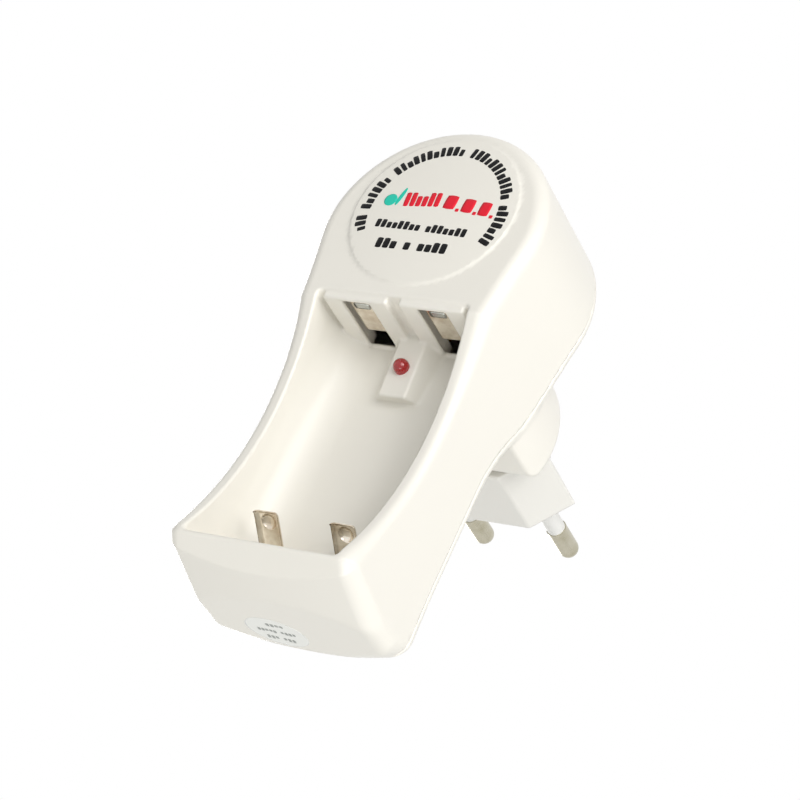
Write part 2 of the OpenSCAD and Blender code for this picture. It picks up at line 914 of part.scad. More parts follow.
// Positive contact: a sprung leaf in the window, bent round to a plate behind the wall
module positive_contact(x) {
    front = window_front_y + 0.3;
    bend_y = -floor_y - 4;
    end_y = -floor_y - 1.2;
    back_z = contact_back_z;
    tag_y = -floor_y + 2.4;
    t = sheet;
    color(metal_colour)
        translate([x, 0, 0]) {
            extrude_x(leaf_w)
                polygon([
                    [end_y, leaf_z + 1.7], [bend_y, leaf_z], [front + 0.5, leaf_z],
                    [front, leaf_z + 0.5], [front, back_z], [front, back_z + t],
                    [front + 3, back_z + t], [front + 3, back_z], [front + t, back_z],
                    [front + t, leaf_z + 0.5 + t / 2], [front + 0.5 + t / 2, leaf_z + t],
                    [bend_y - t / 4, leaf_z + t], [end_y - t / 4, leaf_z + 1.7 + t]
                ]);
            translate([-contact_plate_w / 2, front + 1.6, back_z])
                cube([contact_plate_w, -floor_y - front - 2.6, t]);
            translate([-leaf_w / 4, -floor_y - 2, back_z])
                cube([leaf_w / 2, tag_y + floor_y + 2, t]);
        }
}

// Negative flap at its place: a flanged plate with a dimple, rolled round its hinge pin
module flap(x) {
    inner_r = hinge_d / 2 + run_gap;
    plate_z = barrel_r - sheet;
    barrel_w = flap_w / 2 + 0.4;
    ball_z = barrel_r + dimple_h - dimple_r;
    color(metal_colour)
        translate([x, hinge_y, hinge_z])
            rotate([-flap_lean, 0, 0])
                difference() {
                    union() {
                        translate([-flap_w / 2, -flap_l, plate_z])
                            cube([flap_w, flap_l - flange_start, sheet]);
                        translate([-flap_w / 2, -flange_start - 1, plate_z])
                            cube([barrel_w, flange_start + 1, sheet]);
                        translate([-flap_w / 2, 0, 0])
                            rotate([0, 90, 0])
                                cylinder(r = barrel_r, h = barrel_w);
                        for (s = [-1, 1])
                            translate([s * (flap_w - sheet) / 2 - sheet / 2, -flap_l + 0.8, plate_z - flange_h])
                                cube([sheet, flap_l - 0.8 - flange_start, flange_h + sheet / 2]);
                        intersection() {
                            translate([0, -dimple_at, ball_z])
                                sphere(dimple_r);
                            translate([-flap_w / 2, -flap_l, plate_z])
                                cube([flap_w, flap_l, dimple_r]);
                        }
                    }
                    translate([-flap_w, 0, 0])
                        rotate([0, 90, 0])
                            cylinder(r = inner_r, h = 2 * flap_w);
                    translate([0, -dimple_at, ball_z])
                        sphere(dimple_r - sheet);
                }
}

// Hinge pin of a flap
module flap_pin(x) {
    color(metal_colour)
        translate([x, hinge_y, hinge_z])
            rotate([0, 90, 0])
                cylinder(d = hinge_d, h = hinge_pin_l, center = true);
}

function unit(v) = v / norm(v);

// Direction of a path at point k
function heading(path, k) = unit(path[min(k + 1, len(path) - 1)] - path[max(k - 1, 0)]);

// Ring of points about point k of a path, with side as a direction across the path
function path_ring(path, k, r, sides, side) =
    let (t = heading(path, k), u = unit(cross(t, side)), v = cross(t, u))
    [for (j = [0 : sides - 1]) path[k] + r * (cos(360 * j / sides) * u + sin(360 * j / sides) * v)];

// Round wire along a path
module wire_along(path, r, sides, side) {
    n = len(path);
    points = [for (k = [0 : n - 1]) each path_ring(path, k, r, sides, side)];
    walls = [
        for (k = [0 : n - 2], j = [0 : sides - 1])
            [
                k * sides + j, k * sides + (j + 1) % sides,
                (k + 1) * sides + (j + 1) % sides, (k + 1) * sides + j
            ]
    ];
    ends = [
        [for (j = [0 : sides - 1]) sides - 1 - j],
        [for (j = [0 : sides - 1]) (n - 1) * sides + j]
    ];
    polyhedron(points, concat(walls, ends), convexity = 6);
}

// Torsion spring beside a flap's barrel: one leg lies under the flap, the other behind the floor
module flap_spring(x) {
    start_x = flap_w / 2 - sheet - wire_r - 0.05;
    leg_h = barrel_r - sheet - wire_r - 0.02;
    leg_end = [-spring_leg_at, leg_h];
    first = atan2(leg_end[1], leg_end[0]) + acos(spring_r / norm(leg_end)) - flap_lean;
    total = 360 * spring_turns - first;
    steps = spring_steps * spring_turns;
    coil = [
        for (k = [0 : steps])
            let (a = first + total * k / steps)
            [start_x - spring_pitch * total / 360 * k / steps, spring_r * cos(a), spring_r * sin(a)]
    ];
    turned_end = [
        start_x,
        leg_end[0] * cos(flap_lean) + leg_end[1] * sin(flap_lean),
        -leg_end[0] * sin(flap_lean) + leg_end[1] * cos(flap_lean)
    ];
    color("dimgray")
        translate([x, hinge_y, hinge_z])
            wire_along(concat([turned_end], coil, [coil[steps] + [0, 0, spring_leg_l]]), wire_r, 6, [1, 0, 0]);
}

// Indicator lamp with its flange and two legs
module indicator_lamp() {
    r = led_d / 2;
    flange_y = -led_tip_y + 5.3;
    color("red")
        translate([0, 0, led_z]) {
            translate([0, -led_tip_y + r, 0])
                sphere(r);
            translate([0, -led_tip_y + r, 0])
                rotate([-90, 0, 0])
                    cylinder(r = r, h = 5.3 - r);
            for (s = [-1, 1])
                translate([s * lamp_lead_pitch / 2 * 0.8, flange_y - 1, 0])
                    rotate([-90, 0, 0])
                        cylinder(r = part_lead_r, h = board_back_y - flange_y + 1.2);
        }
}

// Places of the small parts on the board, each as its centre on X and Z
diode_at = [6.2, board_top_z - board_l * 0.38];
resistor_at = [6.2, board_top_z - board_l * 2 / 3];
lamp_resistor_at = [-2.2, board_top_z - board_l * 0.52];

function lead_places(at, l) = [for (s = [-1, 1]) [at[0], at[1] + s * (l / 2 + lead_out)]];

all_leads = concat(
    lead_places(diode_at, diode_l),
    lead_places([-diode_at[0], diode_at[1]], diode_l),
    lead_places(resistor_at, resistor_l),
    lead_places([-resistor_at[0], resistor_at[1]], resistor_l),
    lead_places(lamp_resistor_at, resistor_l),
    [for (s = [-1, 1]) [s * lamp_lead_pitch / 2 * 0.8, led_z]]
);

// Circuit board under the trough, with its holes
module circuit_board() {
    color("peru")
        translate([0, board_front_y, 0])
            difference() {
                translate([-board_w / 2, 0, board_low_z])
                    cube([board_w, board_t, board_l]);
                for (p = all_leads)
                    translate([p[0], -1, p[1]])
                        rotate([-90, 0, 0])
                            cylinder(r = lead_hole_r, h = board_t + 2, $fn = 16);
                for (z = post_z)
                    translate([0, -1, z])
                        rotate([-90, 0, 0])
                            cylinder(r = post_pin_r + 0.1, h = board_t + 2);
            }
}

// Small part that lies on the board with its leads bent through it
module axial_part(at, d, l, name) {
    color(name)
        translate([at[0], parts_y, at[1]]) {
            cylinder(d = d, h = l, center = true);
            cylinder(r = part_lead_r, h = l + 2 * lead_out, center = true, $fn = 16);
            for (s = [-1, 1])
                translate([0, 0, s * (l / 2 + lead_out)]) {
                    sphere(part_lead_r);
                    rotate([-90, 0, 0])
                        cylinder(r = part_lead_r, h = board_back_y - parts_y + 0.2, $fn = 16);
                }
        }
}

// Stack of core sheets with two windows
module transformer_core() {
    color("slategray")
        translate([0, core_y, core_z])
            difference() {
                cube([core_w, core_t, core_h], center = true);
                for (s = [-1, 1])
                    translate([s * (centre_leg_w + window_core_w) / 2, 0, 0])
                        cube([window_core_w, core_t + 2, window_core_h], center = true);
            }
}

// Frame of a rectangular tube about the centre leg, drawn outwards by o
module leg_tube(inner, outer, h) {
    linear_extrude(h)
        difference() {
            square([centre_leg_w + 2 * outer, core_t + 2 * outer], center = true);
            square([centre_leg_w + 2 * inner, core_t + 2 * inner], center = true);
        }
}

// Bobbin with three flanges round the centre leg
module transformer_bobbin() {
    tube_o = bobbin_gap + bobbin_wall;
    flange_o = tube_o + winding_build;
    places = [0, bobbin_wall + secondary_h, bobbin_h - bobbin_wall];
    color("whitesmoke")
        translate([0, core_y, bobbin_low_z]) {
            leg_tube(bobbin_gap, tube_o, bobbin_h);
            for (z = places)
                translate([0, 0, z])
                    leg_tube(bobbin_gap, flange_o, bobbin_wall);
        }
}

// Winding on the bobbin, from z upwards
module winding(z, h, name) {
    inner = bobbin_gap + bobbin_wall + fit_gap;
    color(name)
        translate([0, core_y, bobbin_low_z + z + fit_gap])
            leg_tube(inner, bobbin_gap + bobbin_wall + winding_build - 0.3, h - 2 * fit_gap);
}

// Points of a curve with four handles
function curve(p, n) = [
    for (k = [0 : n])
        let (t = k / n, s = 1 - t)
        s * s * s * p[0] + 3 * s * s * t * p[1] + 3 * s * t * t * p[2] + t * t * t * p[3]
];

// Insulated wire along a curve, drawn on the right and mirrored by s
module hook_up_wire(s, handles, name) {
    path = [for (p = curve(handles, wire_steps)) [s * p[0], p[1], p[2]]];
    color(name)
        wire_along(path, wire_cover_r, wire_sides, [1, 0.1, 0]);
}

// Wire from a plug pin to the primary winding
module mains_wire(s, name) {
    tag_y = -boss_y - wall - hook_l - 1 - pin_tag_l;
    rest_y = core_y + core_t / 2 + bobbin_gap + bobbin_wall + winding_build + wire_cover_r;
    x = pin_pitch / 2;
    hook_up_wire(s, [
        [x, tag_y - wire_cover_r, 0], [x, tag_y - 4.5, 3],
        [x - 2, rest_y + 0.2, 12], [x - 3.5, rest_y, core_z + 3]
    ], name);
}

// Wire from the secondary winding to the board
module secondary_wire(s, name) {
    rest_y = core_y + core_t / 2 + bobbin_gap + bobbin_wall + winding_build + wire_cover_r;
    hook_up_wire(s, [
        [3, rest_y, bobbin_low_z + 3], [3.4, rest_y + 0.2, bobbin_low_z - 5],
        [4, board_back_y + 2, board_top_z + 4], [4, board_back_y + wire_cover_r, board_top_z - 3]
    ], name);
}

// Wire from a positive contact to the board
module positive_wire(s, name) {
    tag_y = -floor_y + 2.4;
    hook_up_wire(s, [
        [cell_x, tag_y - 1, contact_back_z + sheet + wire_cover_r],
        [cell_x, tag_y + 4, contact_back_z + 2],
        [cell_x - 0.4, board_back_y + 2, board_top_z + 5],
        [cell_x - 0.6, board_back_y + wire_cover_r, board_top_z - 3]
    ], name);
}

// Wire from a flap's hinge pin to the board
module negative_wire(s, name) {
    end_x = cell_x + hinge_pin_l / 2 + wire_gap;
    hook_up_wire(s, [
        [end_x, hinge_y, hinge_z],
        [end_x + 2.4, hinge_y + 0.4, hinge_z],
        [end_x + 0.8, board_front_y - 0.8, board_low_z - 2],
        [board_w / 2 - 2, board_front_y - wire_cover_r, board_low_z + 1.4]
    ], name);
}

// One pan-head screw with its head towards the back
module screw(x, y, z) {
    translate([x, y, z])
        rotate([90, 0, 0]) {
            translate([0, 0, -screw_head_h])
                difference() {
                    cylinder(d = screw_head_d, h = screw_head_h);
                    for (a = [0, 90])
                        rotate([0, 0, a])
                            translate([-1.2, -0.3, -0.1])
                                cube([2.4, 0.6, 0.8]);
                }
            cylinder(d = screw_d - 2 * fit_gap - 0.1, h = screw_l);
        }
}

// The three screws that hold the shells together
module housing_screws() {
    color("gray") {
        for (s = [-1, 1])
            screw(s * low_screw_x, -back_low_y - wall, low_screw_z);
        screw(0, -back_head_y - wall, top_screw_z);
    }
}

front_shell();
rear_shell();
plug_block();
plug_pin(-pin_pitch / 2);  // left_plug_pin
plug_pin(pin_pitch / 2);  // right_plug_pin
pin_sleeve(-pin_pitch / 2);  // left_pin_sleeve
pin_sleeve(pin_pitch / 2);  // right_pin_sleeve
positive_contact(-cell_x);  // left_positive_contact
positive_contact(cell_x);  // right_positive_contact
flap(-cell_x);  // left_flap
flap(cell_x);  // right_flap
flap_pin(-cell_x);  // left_flap_pin
flap_pin(cell_x);  // right_flap_pin
flap_spring(-cell_x);  // left_flap_spring
flap_spring(cell_x);  // right_flap_spring
indicator_lamp();
circuit_board();
transformer_core();
transformer_bobbin();
winding(2 * bobbin_wall + secondary_h, primary_h, "sienna");  // primary_winding
winding(bobbin_wall, secondary_h, "sienna");  // secondary_winding
axial_part([-diode_at[0], diode_at[1]], diode_d, diode_l, "black");  // left_diode
axial_part(diode_at, diode_d, diode_l, "black");  // right_diode
axial_part([-resistor_at[0], resistor_at[1]], resistor_d, resistor_l, "tan");  // left_resistor
axial_part(resistor_at, resistor_d, resistor_l, "tan");  // right_resistor
axial_part(lamp_resistor_at, resistor_d, resistor_l, "tan");  // lamp_resistor
mains_wire(-1, "brown");  // live_wire
mains_wire(1, "royalblue");  // neutral_wire
secondary_wire(-1, "gold");  // left_secondary_wire
secondary_wire(1, "gold");  // right_secondary_wire
positive_wire(-1, "crimson");  // left_positive_wire
positive_wire(1, "crimson");  // right_positive_wire
negative_wire(-1, "black");  // left_negative_wire
negative_wire(1, "black");  // right_negative_wire
housing_screws();
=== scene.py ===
"""Plug-in charger for two cells: moulded shells, contacts, lamp, plug and label, dressed for rendering.

Lengths in this script's formulas are in millimetres in the frame of the part: the origin is the
centre of the plug's face, +X is right, -Y is the front and +Z is up. Meshes are written in metres.
"""

import json
import math

import bpy
import numpy as np
from mathutils import Matrix

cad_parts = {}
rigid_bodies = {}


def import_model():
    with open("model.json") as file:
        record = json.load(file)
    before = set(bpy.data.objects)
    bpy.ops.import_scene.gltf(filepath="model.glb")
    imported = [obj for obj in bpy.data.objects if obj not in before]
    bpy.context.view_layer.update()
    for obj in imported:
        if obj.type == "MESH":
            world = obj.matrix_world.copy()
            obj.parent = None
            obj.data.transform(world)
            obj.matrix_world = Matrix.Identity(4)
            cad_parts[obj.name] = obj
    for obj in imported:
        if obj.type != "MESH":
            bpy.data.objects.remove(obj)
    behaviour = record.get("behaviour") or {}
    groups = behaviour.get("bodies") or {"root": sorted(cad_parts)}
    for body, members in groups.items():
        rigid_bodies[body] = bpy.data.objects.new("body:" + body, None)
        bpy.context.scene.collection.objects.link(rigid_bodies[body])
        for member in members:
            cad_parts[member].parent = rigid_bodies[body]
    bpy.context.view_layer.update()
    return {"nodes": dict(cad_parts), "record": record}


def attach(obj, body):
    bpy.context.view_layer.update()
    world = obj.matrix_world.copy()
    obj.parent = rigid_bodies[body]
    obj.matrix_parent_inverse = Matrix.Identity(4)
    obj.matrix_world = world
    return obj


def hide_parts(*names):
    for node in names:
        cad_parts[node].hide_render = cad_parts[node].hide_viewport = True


for leftover in list(bpy.data.objects):
    bpy.data.objects.remove(leftover)
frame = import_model()
nodes = frame["nodes"]

MM = 0.001

# Outline of the body, seen from the front
HALF_W = 18.8
LIP_FLARE = 0.5
LIP_FLARE_Z = -38.0
LIP_FLARE_L = 14.0
HEAD_R = 22.48
HEAD_Z = 20.5
FLARE_Z = -20.0
NECK_R = 202.22
NECK_X = HALF_W + NECK_R
NECK_SLOPE = (HEAD_Z - FLARE_Z) / NECK_X
CORNER_R = 2.6

# Lower end
END_Z = -56.0
CHIN_ANGLE = math.radians(14)
CHIN_CROWN_R = 125.0
CHIN_ROUND = 9.0
HEEL_ANGLE = math.radians(58.4)
HEEL_CROWN_R = 70.0
HEEL_REACH = 30.33
HEEL_ROUND = 4.0
CROWN_END_X = 30.0

# Depths of front, back and walls
FRONT_Y = -56.0
HEAD_BACK_Y = -27.0
LOW_BACK_Y = -31.5
STEP_LOW_Z = -20.0
STEP_HIGH_Z = 5.0
RIM_W = 2.4
WALL = 2.0
SMALL_ROUND = 0.2
REAR_EDGE_R = 2.2
SEAM_GAP = 0.03

# Front: scoop, lip, its slanted band and the edge that grows softer at both ends
SCOOP_R = 56.5
SCOOP_Y = -107.7
SCOOP_Z = -20.0
SHOULDER_ROUND = 7.0
SHOULDER_COS = 0.85
LIP_Y = -59.7
LIP_ZONE_Z = -44.0
LIP_ROUND = 1.6
BAND_LOW = (-55.5, -54.5)
BAND_ANGLE = math.atan2(4.2, 3.7)
BAND_ROUND = 1.3
EDGE_R = 1.6
HEAD_EDGE_MORE = 1.0
HEAD_EDGE_Z = (-14.0, 2.0)
LIP_EDGE_MORE = 1.4
LIP_EDGE_Z = (-38.0, -51.0)

# Battery bay
BAY_TOP = 4.2
BAY_LOW = -50.2
BAY_MIDDLE = (BAY_TOP + BAY_LOW) / 2
BAY_HALF_L = (BAY_TOP - BAY_LOW) / 2
BAY_END_ROUND = 0.9
BAY_EDGE_ROUND = 0.5
CELL_X = 8.0
TROUGH_R = 7.8
FLOOR_Y = -41.0
TROUGH_Y = FLOOR_Y - TROUGH_R
LEAF_Z = 3.9
ROOF_Z = 5.2
UPPER_ZONE_Z = -1.0
FRAME_ROUND = 0.45
FRAME_FILLET = 0.25
WINDOW_ROUND = 0.25
WINDOW_BACK_ROUND = 0.1
WINDOW_EDGE_ROUND = 0.3
SLOT_ROUND = 0.3
SLOT_EDGE_ROUND = 0.25
SLOT_ZONE_Y = -43.0
SLOT_ZONE_Z = -40.0

# Wedge under the lamp
WEDGE_L = 12.5
WEDGE_H = 4.0
WEDGE_LEAN = 1.3 / WEDGE_L
WEDGE_HALF_W = 2.7
WEDGE_SIDE = (5.0, 3.5)
WEDGE_SIDE_COS = 0.55
WEDGE_END_LEAN = 0.25
WEDGE_END_COS = 0.2
WEDGE_ROUND = 0.7
WEDGE_FILLET = 0.6
WEDGE_ZONE_HALF_W = 9.0
WEDGE_ZONE_Y = -50.0
WEDGE_ZONE_Z = -14.0

# Bump between the flaps
BUMP_R = 5.0
BUMP_Y = -37.8
BUMP_Z = -44.8
BUMP_END_Z = -51.5
BUMP_FILLET = 1.2
BUMP_ZONE_Z = -36.0

# Boxes, each from its low to its high corner; those of the bay stand on the right half
FRAME = ((1.3, -55.5, 2.8), (14.7, FLOOR_Y + 1, 8.0))
WINDOW = ((5.1, -54.6, 2.5), (10.9, -41.3, 9.0))
BEHIND_WINDOW = ((4.6, -54.6, 3.5), (11.4, -37.0, 9.0))
FLAP_SLOT = ((5.1, -50.0, -48.6), (10.9, -35.0, -44.0))
NECK_HOLE = ((-15.15, -30.0, -4.65), (15.15, -10.0, 4.65))
PLUG_NECK = ((-15.0, -20.4, -4.5), (15.0, -16.0, 4.5))
NECK_HOLE_ROUND = 0.1

# Hinges and their cheeks
HINGE_Y = -39.6
HINGE_Z = -46.7
CHEEK_OFF = 3.65
CHEEK_HALF_T = 0.75
CHEEK_R = 1.35
CHEEK_ROOT = 0.5

# Flaps, each in its own frame
FLAP_HALF_W = 2.5
FLAP_L = 13.2
FLAP_LEAN = math.radians(29.6)
SHEET = 0.4
BARREL_R = 1.31
BORE_R = 0.81
DIMPLE_AT = 11.0
DIMPLE_R = 1.8
DIMPLE_H = 0.85
ROLL_H = 0.7
ROLL_X = 1.7
ROLL_Y = (2.4, 3.6)
TIP_DROP = 0.5
BARREL_X = (-2.5, 0.4)
BARREL_CLEAR_Y = 2.0
PLATE_START_Y = 0.1
PLATE_CORNER_R = 0.3
SHEET_ROUND = 0.12

# Boss behind the head, and the screws of the rear moulding
BOSS_R = 19.6
BOSS_LOW_Z = -7.0
BOSS_BACK_Y = -17.0
BOSS_FRONT_Y = -29.4
BOSS_ROOM_Y = -32.0
BOSS_FILLET = 0.5
BOSS_LOW_ROUND = 1.0
BOSS_LOW_COS = 0.3
BOSS_BACK_ROUND = 1.5
BOSS_UNDER_ROUND = 4.0
SCREWS = ((13.4, -36.5), (0.0, 38.8))
POST_R = 2.4
POST_L = 4.2
SCREW_HEAD_R = 2.3
SCREW_HEAD_L = 2.0
SCREW_BORE_R = 1.2

# Plug
PLUG_HALF_W = 17.7
PLUG_HALF_T = 6.9
PLUG_CUT = 10.62
PLUG_ROUND = 1.2
PLUG_EDGE_ROUND = 0.8
PLUG_EDGE_COS = 0.7
PLUG_FACE_ROUND = 0.7
PLUG_ROOT_Y = -17.2
PLUG_NECK_ROUND = 0.3
COLLAR_HALF_W = 18.4
COLLAR_HALF_T = 6.98
COLLAR_Y = -16.25
COLLAR_HALF_L = 0.75
COLLAR_ROUND = 0.3
PIN_X = 9.5
PIN_BORE_R = 1.53
SLEEVE_BORE_R = 1.83
SLEEVE_BORE_L = 2.0
BORE_EDGE_ROUND = 0.12

# Label
DOME_R = 16.6
DOME_Z = 23.4
DOME_H = 0.95
DOME_EDGE = 0.35
DOME_BULGE = DOME_H - DOME_EDGE
DOME_BALL_R = (DOME_R**2 + DOME_BULGE**2) / (2 * DOME_BULGE)
DOME_BALL_Y = FRONT_Y - DOME_H + DOME_BALL_R
DOME_ROUND = 0.3
DOME_ROOT = 1.0


# Shapes as fields


def corner(a, b, r, c=0.0):
    """Solid in front of neither of two faces, its edge rounded to r.

    a and b are the heights above the two faces and c is the cosine between their normals. Between
    the two normals the height is the distance from the edge's centre line, less r; elsewhere it
    is the larger of a and b.
    """
    p = a + r
    q = b + r
    over = np.sqrt(np.maximum(p * p + q * q - 2 * c * p * q, 0) / (1 - c * c)) - r
    return np.where((p > c * q) & (q > c * p), over, np.maximum(a, b))


def fillet(a, b, r):
    """Union of two solids with a hollow rounding of radius r between them."""
    return -corner(-a, -b, r)


def without(a, b, r):
    """Solid a with solid b taken out of it, the new edge rounded to r."""
    return corner(a, -b, r)


def ramp(value, start, stop):
    """Share of the way from start to stop, held between 0 and 1."""
    return np.clip((value - start) / (stop - start), 0, 1)


def box_field(x, y, z, low, high, r):
    """Height above a box from low to high whose edges are rounded to r.

    The distance to the box drawn in by r, less r.
    """
    parts = [
        np.abs(v - (lo + hi) / 2) - ((hi - lo) / 2 - r)
        for v, lo, hi in zip((x, y, z), low, high)
    ]
    outside = np.sqrt(sum(np.maximum(p, 0) ** 2 for p in parts))
    inside = np.minimum(np.maximum(np.maximum(parts[0], parts[1]), parts[2]), 0)
    return outside + inside - r


def side_field(x, z):
    """Height above the body's sides: a round head, hollow flanks and lower sides that flare at the lip."""
    w = np.abs(x)
    head = np.hypot(x, z - HEAD_Z) - HEAD_R
    flank = NECK_R - np.hypot(w - NECK_X, z - FLARE_Z)
    on_head = z > HEAD_Z - w * NECK_SLOPE
    flare = LIP_FLARE * ramp(z, LIP_FLARE_Z, LIP_FLARE_Z - LIP_FLARE_L) ** 2
    low = w - HALF_W - flare
    return np.where(on_head, head, np.where(z > FLARE_Z, flank, low))


def rise_at(x, r):
    """Height by which an arc of radius r has risen at x."""
    return r - np.sqrt(r * r - np.minimum(np.abs(x), CROWN_END_X) ** 2)


def end_field(x, y, z):
    """Height above the lower end: a sloping chin, a level face and a sloping heel, softly joined.

    Chin and heel are crowned: seen from the front they rise along an arc towards both sides.
    """
    chin_z = z - rise_at(x, CHIN_CROWN_R) - BAND_LOW[1]
    chin = -math.sin(CHIN_ANGLE) * (y - BAND_LOW[0]) - math.cos(CHIN_ANGLE) * chin_z
    heel_z = z - rise_at(x, HEEL_CROWN_R)
    heel = math.cos(HEEL_ANGLE) * y - math.sin(HEEL_ANGLE) * heel_z - HEEL_REACH
    level = END_Z - z
    under = corner(chin, level, CHIN_ROUND, math.cos(CHIN_ANGLE))
    return corner(under, heel, HEEL_ROUND, math.sin(HEEL_ANGLE))


def outline_field(x, y, z):
    """Height above the outline of sides and lower end, with its round corners."""
    side = side_field(x, z)
    return np.where(z < HEAD_Z, corner(side, end_field(x, y, z), CORNER_R), side)


def back_place(z):
    """Depth of the back at height z: flat, an S made of two equal arcs, and flat again."""
    depth = HEAD_BACK_Y - LOW_BACK_Y
    length = STEP_HIGH_Z - STEP_LOW_Z
    r = (length**2 + depth**2) / (4 * depth)
    up = np.clip(z - STEP_LOW_Z, 0, length)
    low = LOW_BACK_Y + r - np.sqrt(r * r - np.minimum(up, length / 2) ** 2)
    high = HEAD_BACK_Y - r + np.sqrt(r * r - np.minimum(length - up, length / 2) ** 2)
    return np.where(up < length / 2, low, high)


def back_slope(z):
    """Cosine of the back's lean at height z."""
    step = 0.05
    return 1 / np.sqrt(1 + ((back_place(z + step) - back_place(z - step)) / (2 * step)) ** 2)


def front_field(x, y, z):
    """Height in front of the front: flat head, round scoop, lip, its slanted band and the lower end.

    Flat and scoop meet in a plain edge down to the lip's zone, and in a round shoulder inside it.
    """
    flat = np.where(z > SCOOP_Z, FRONT_Y - y, LIP_Y - y)
    scoop = SCOOP_R - np.hypot(y - SCOOP_Y, z - SCOOP_Z)
    band = -math.cos(BAND_ANGLE) * (y - BAND_LOW[0]) - math.sin(BAND_ANGLE) * (z - BAND_LOW[1])
    below = corner(band, end_field(x, y, z), BAND_ROUND, math.sin(BAND_ANGLE + CHIN_ANGLE))
    shoulder = corner(flat, scoop, SHOULDER_ROUND, SHOULDER_COS)
    lip = corner(shoulder, below, LIP_ROUND, math.cos(BAND_ANGLE))
    return np.where(z < LIP_ZONE_Z, lip, np.maximum(flat, scoop))


def edge_round(z):
    """Rounding of the front's edge at height z: it grows towards the head and towards the lip."""
    return EDGE_R + HEAD_EDGE_MORE * ramp(z, *HEAD_EDGE_Z) + LIP_EDGE_MORE * ramp(z, *LIP_EDGE_Z) ** 2


def dome_field(x, y, z):
    """Height above the label's raised round field: a ball's cap on a low rim."""
    cap = np.sqrt(x**2 + (y - DOME_BALL_Y) ** 2 + (z - DOME_Z) ** 2) - DOME_BALL_R
    rim = np.hypot(x, z - DOME_Z) - DOME_R
    return np.maximum(corner(cap, rim, DOME_ROUND), y - FRONT_Y - DOME_ROOT)


def trough_field(x, y):
    """Height above the battery trough's section: a flat floor between two round sides."""
    q = np.abs(x) - CELL_X
    w = y - TROUGH_Y
    return np.hypot(np.maximum(q, 0), np.maximum(w, 0)) + np.minimum(np.maximum(q, w), 0) - TROUGH_R


def wedge_field(x, y, z):
    """Height above the wedge that carries the lamp: a leaning face, two drafted sides and an end."""
    face_y = FLOOR_Y - WEDGE_H + (BAY_TOP - z) * WEDGE_LEAN
    face = (face_y - y) / math.hypot(1, WEDGE_LEAN)
    out, down = WEDGE_SIDE
    side = (out * (np.abs(x) - WEDGE_HALF_W) + down * (face_y - y)) / math.hypot(out, down)
    end = BAY_TOP - WEDGE_L - z + WEDGE_END_LEAN * (y - FLOOR_Y)
    wedge = corner(face, side, WEDGE_ROUND, WEDGE_SIDE_COS)
    return corner(wedge, end, WEDGE_ROUND, WEDGE_END_COS)


def bump_field(x, y, z):
    """Height above the bump between the flaps: a round rod down the floor, with a half ball on top."""
    rod = np.sqrt(x**2 + (y - BUMP_Y) ** 2 + np.maximum(z - BUMP_Z, 0) ** 2) - BUMP_R
    return np.maximum(rod, BUMP_END_Z - z)


def cheek_field(x, y, z):
    """Height above the four cheeks that hold the hinge pins: round ends on roots in the floor."""
    along = np.abs(np.abs(np.abs(x) - CELL_X) - CHEEK_OFF) - CHEEK_HALF_T
    round_end = np.hypot(y - HINGE_Y, z - HINGE_Z) - CHEEK_R
    root = np.maximum(np.abs(z - HINGE_Z) - CHEEK_R, y - HINGE_Y)
    return np.maximum(np.maximum(along, np.minimum(round_end, root)), FLOOR_Y + CHEEK_ROOT - y)


def with_bay_forms(shell, x, y, z):
    """The shell with the contact frames, the lamp's wedge and the bump blended on to it."""
    w = np.abs(x)
    frames = np.maximum(box_field(w, y, z, *FRAME, FRAME_ROUND), z - ROOF_Z)
    shell = np.where(z > UPPER_ZONE_Z, fillet(shell, frames, FRAME_FILLET), shell)
    wedge = np.maximum(wedge_field(x, y, z), z - ROOF_Z)
    near_wedge = (z > WEDGE_ZONE_Z) & (w < WEDGE_ZONE_HALF_W) & (y > WEDGE_ZONE_Y)
    shell = np.where(near_wedge, fillet(shell, wedge, WEDGE_FILLET), shell)
    return np.where(z < BUMP_ZONE_Z, fillet(shell, bump_field(x, y, z), BUMP_FILLET), shell)


def with_bay_openings(shell, x, y, z):
    """The shell with its contact windows, wider behind their faces, and the slots under the flaps."""
    w = np.abs(x)
    window = box_field(w, y, z, *WINDOW, WINDOW_ROUND)
    window = np.minimum(window, box_field(w, y, z, *BEHIND_WINDOW, WINDOW_BACK_ROUND))
    shell = np.where(z > UPPER_ZONE_Z, without(shell, window, WINDOW_EDGE_ROUND), shell)
    slot = box_field(w, y, z, *FLAP_SLOT, SLOT_ROUND)
    near_slot = (y > SLOT_ZONE_Y) & (z < SLOT_ZONE_Z)
    return np.where(near_slot, without(shell, slot, SLOT_EDGE_ROUND), shell)


def front_shell_field(x, y, z):
    """Front moulding: the body's sides and front with the dome, less the bay and the inner room.

    The room is the outline drawn in by the wall, less the bay and a wall round it. The cheeks stand
    in it, and the parting face at the back ends the moulding.
    """
    body = corner(side_field(x, z), front_field(x, y, z), edge_round(z))
    body = np.minimum(body, dome_field(x, y, z))
    bay = corner(trough_field(x, y), np.abs(z - BAY_MIDDLE) - BAY_HALF_L, BAY_END_ROUND)
    shell = with_bay_forms(without(body, bay, BAY_EDGE_ROUND), x, y, z)
    bay_wall = np.maximum(trough_field(x, y) - WALL, z - BAY_TOP - WALL)
    room = np.maximum(outline_field(x, y, z) + WALL, FRONT_Y + WALL - y)
    room = np.maximum(room, -bay_wall)
    shell = np.minimum(without(shell, room, SMALL_ROUND), cheek_field(x, y, z))
    shell = with_bay_openings(shell, x, y, z)
    parting = (y - back_place(z) + RIM_W) * back_slope(z)
    return corner(shell, parting, SMALL_ROUND)


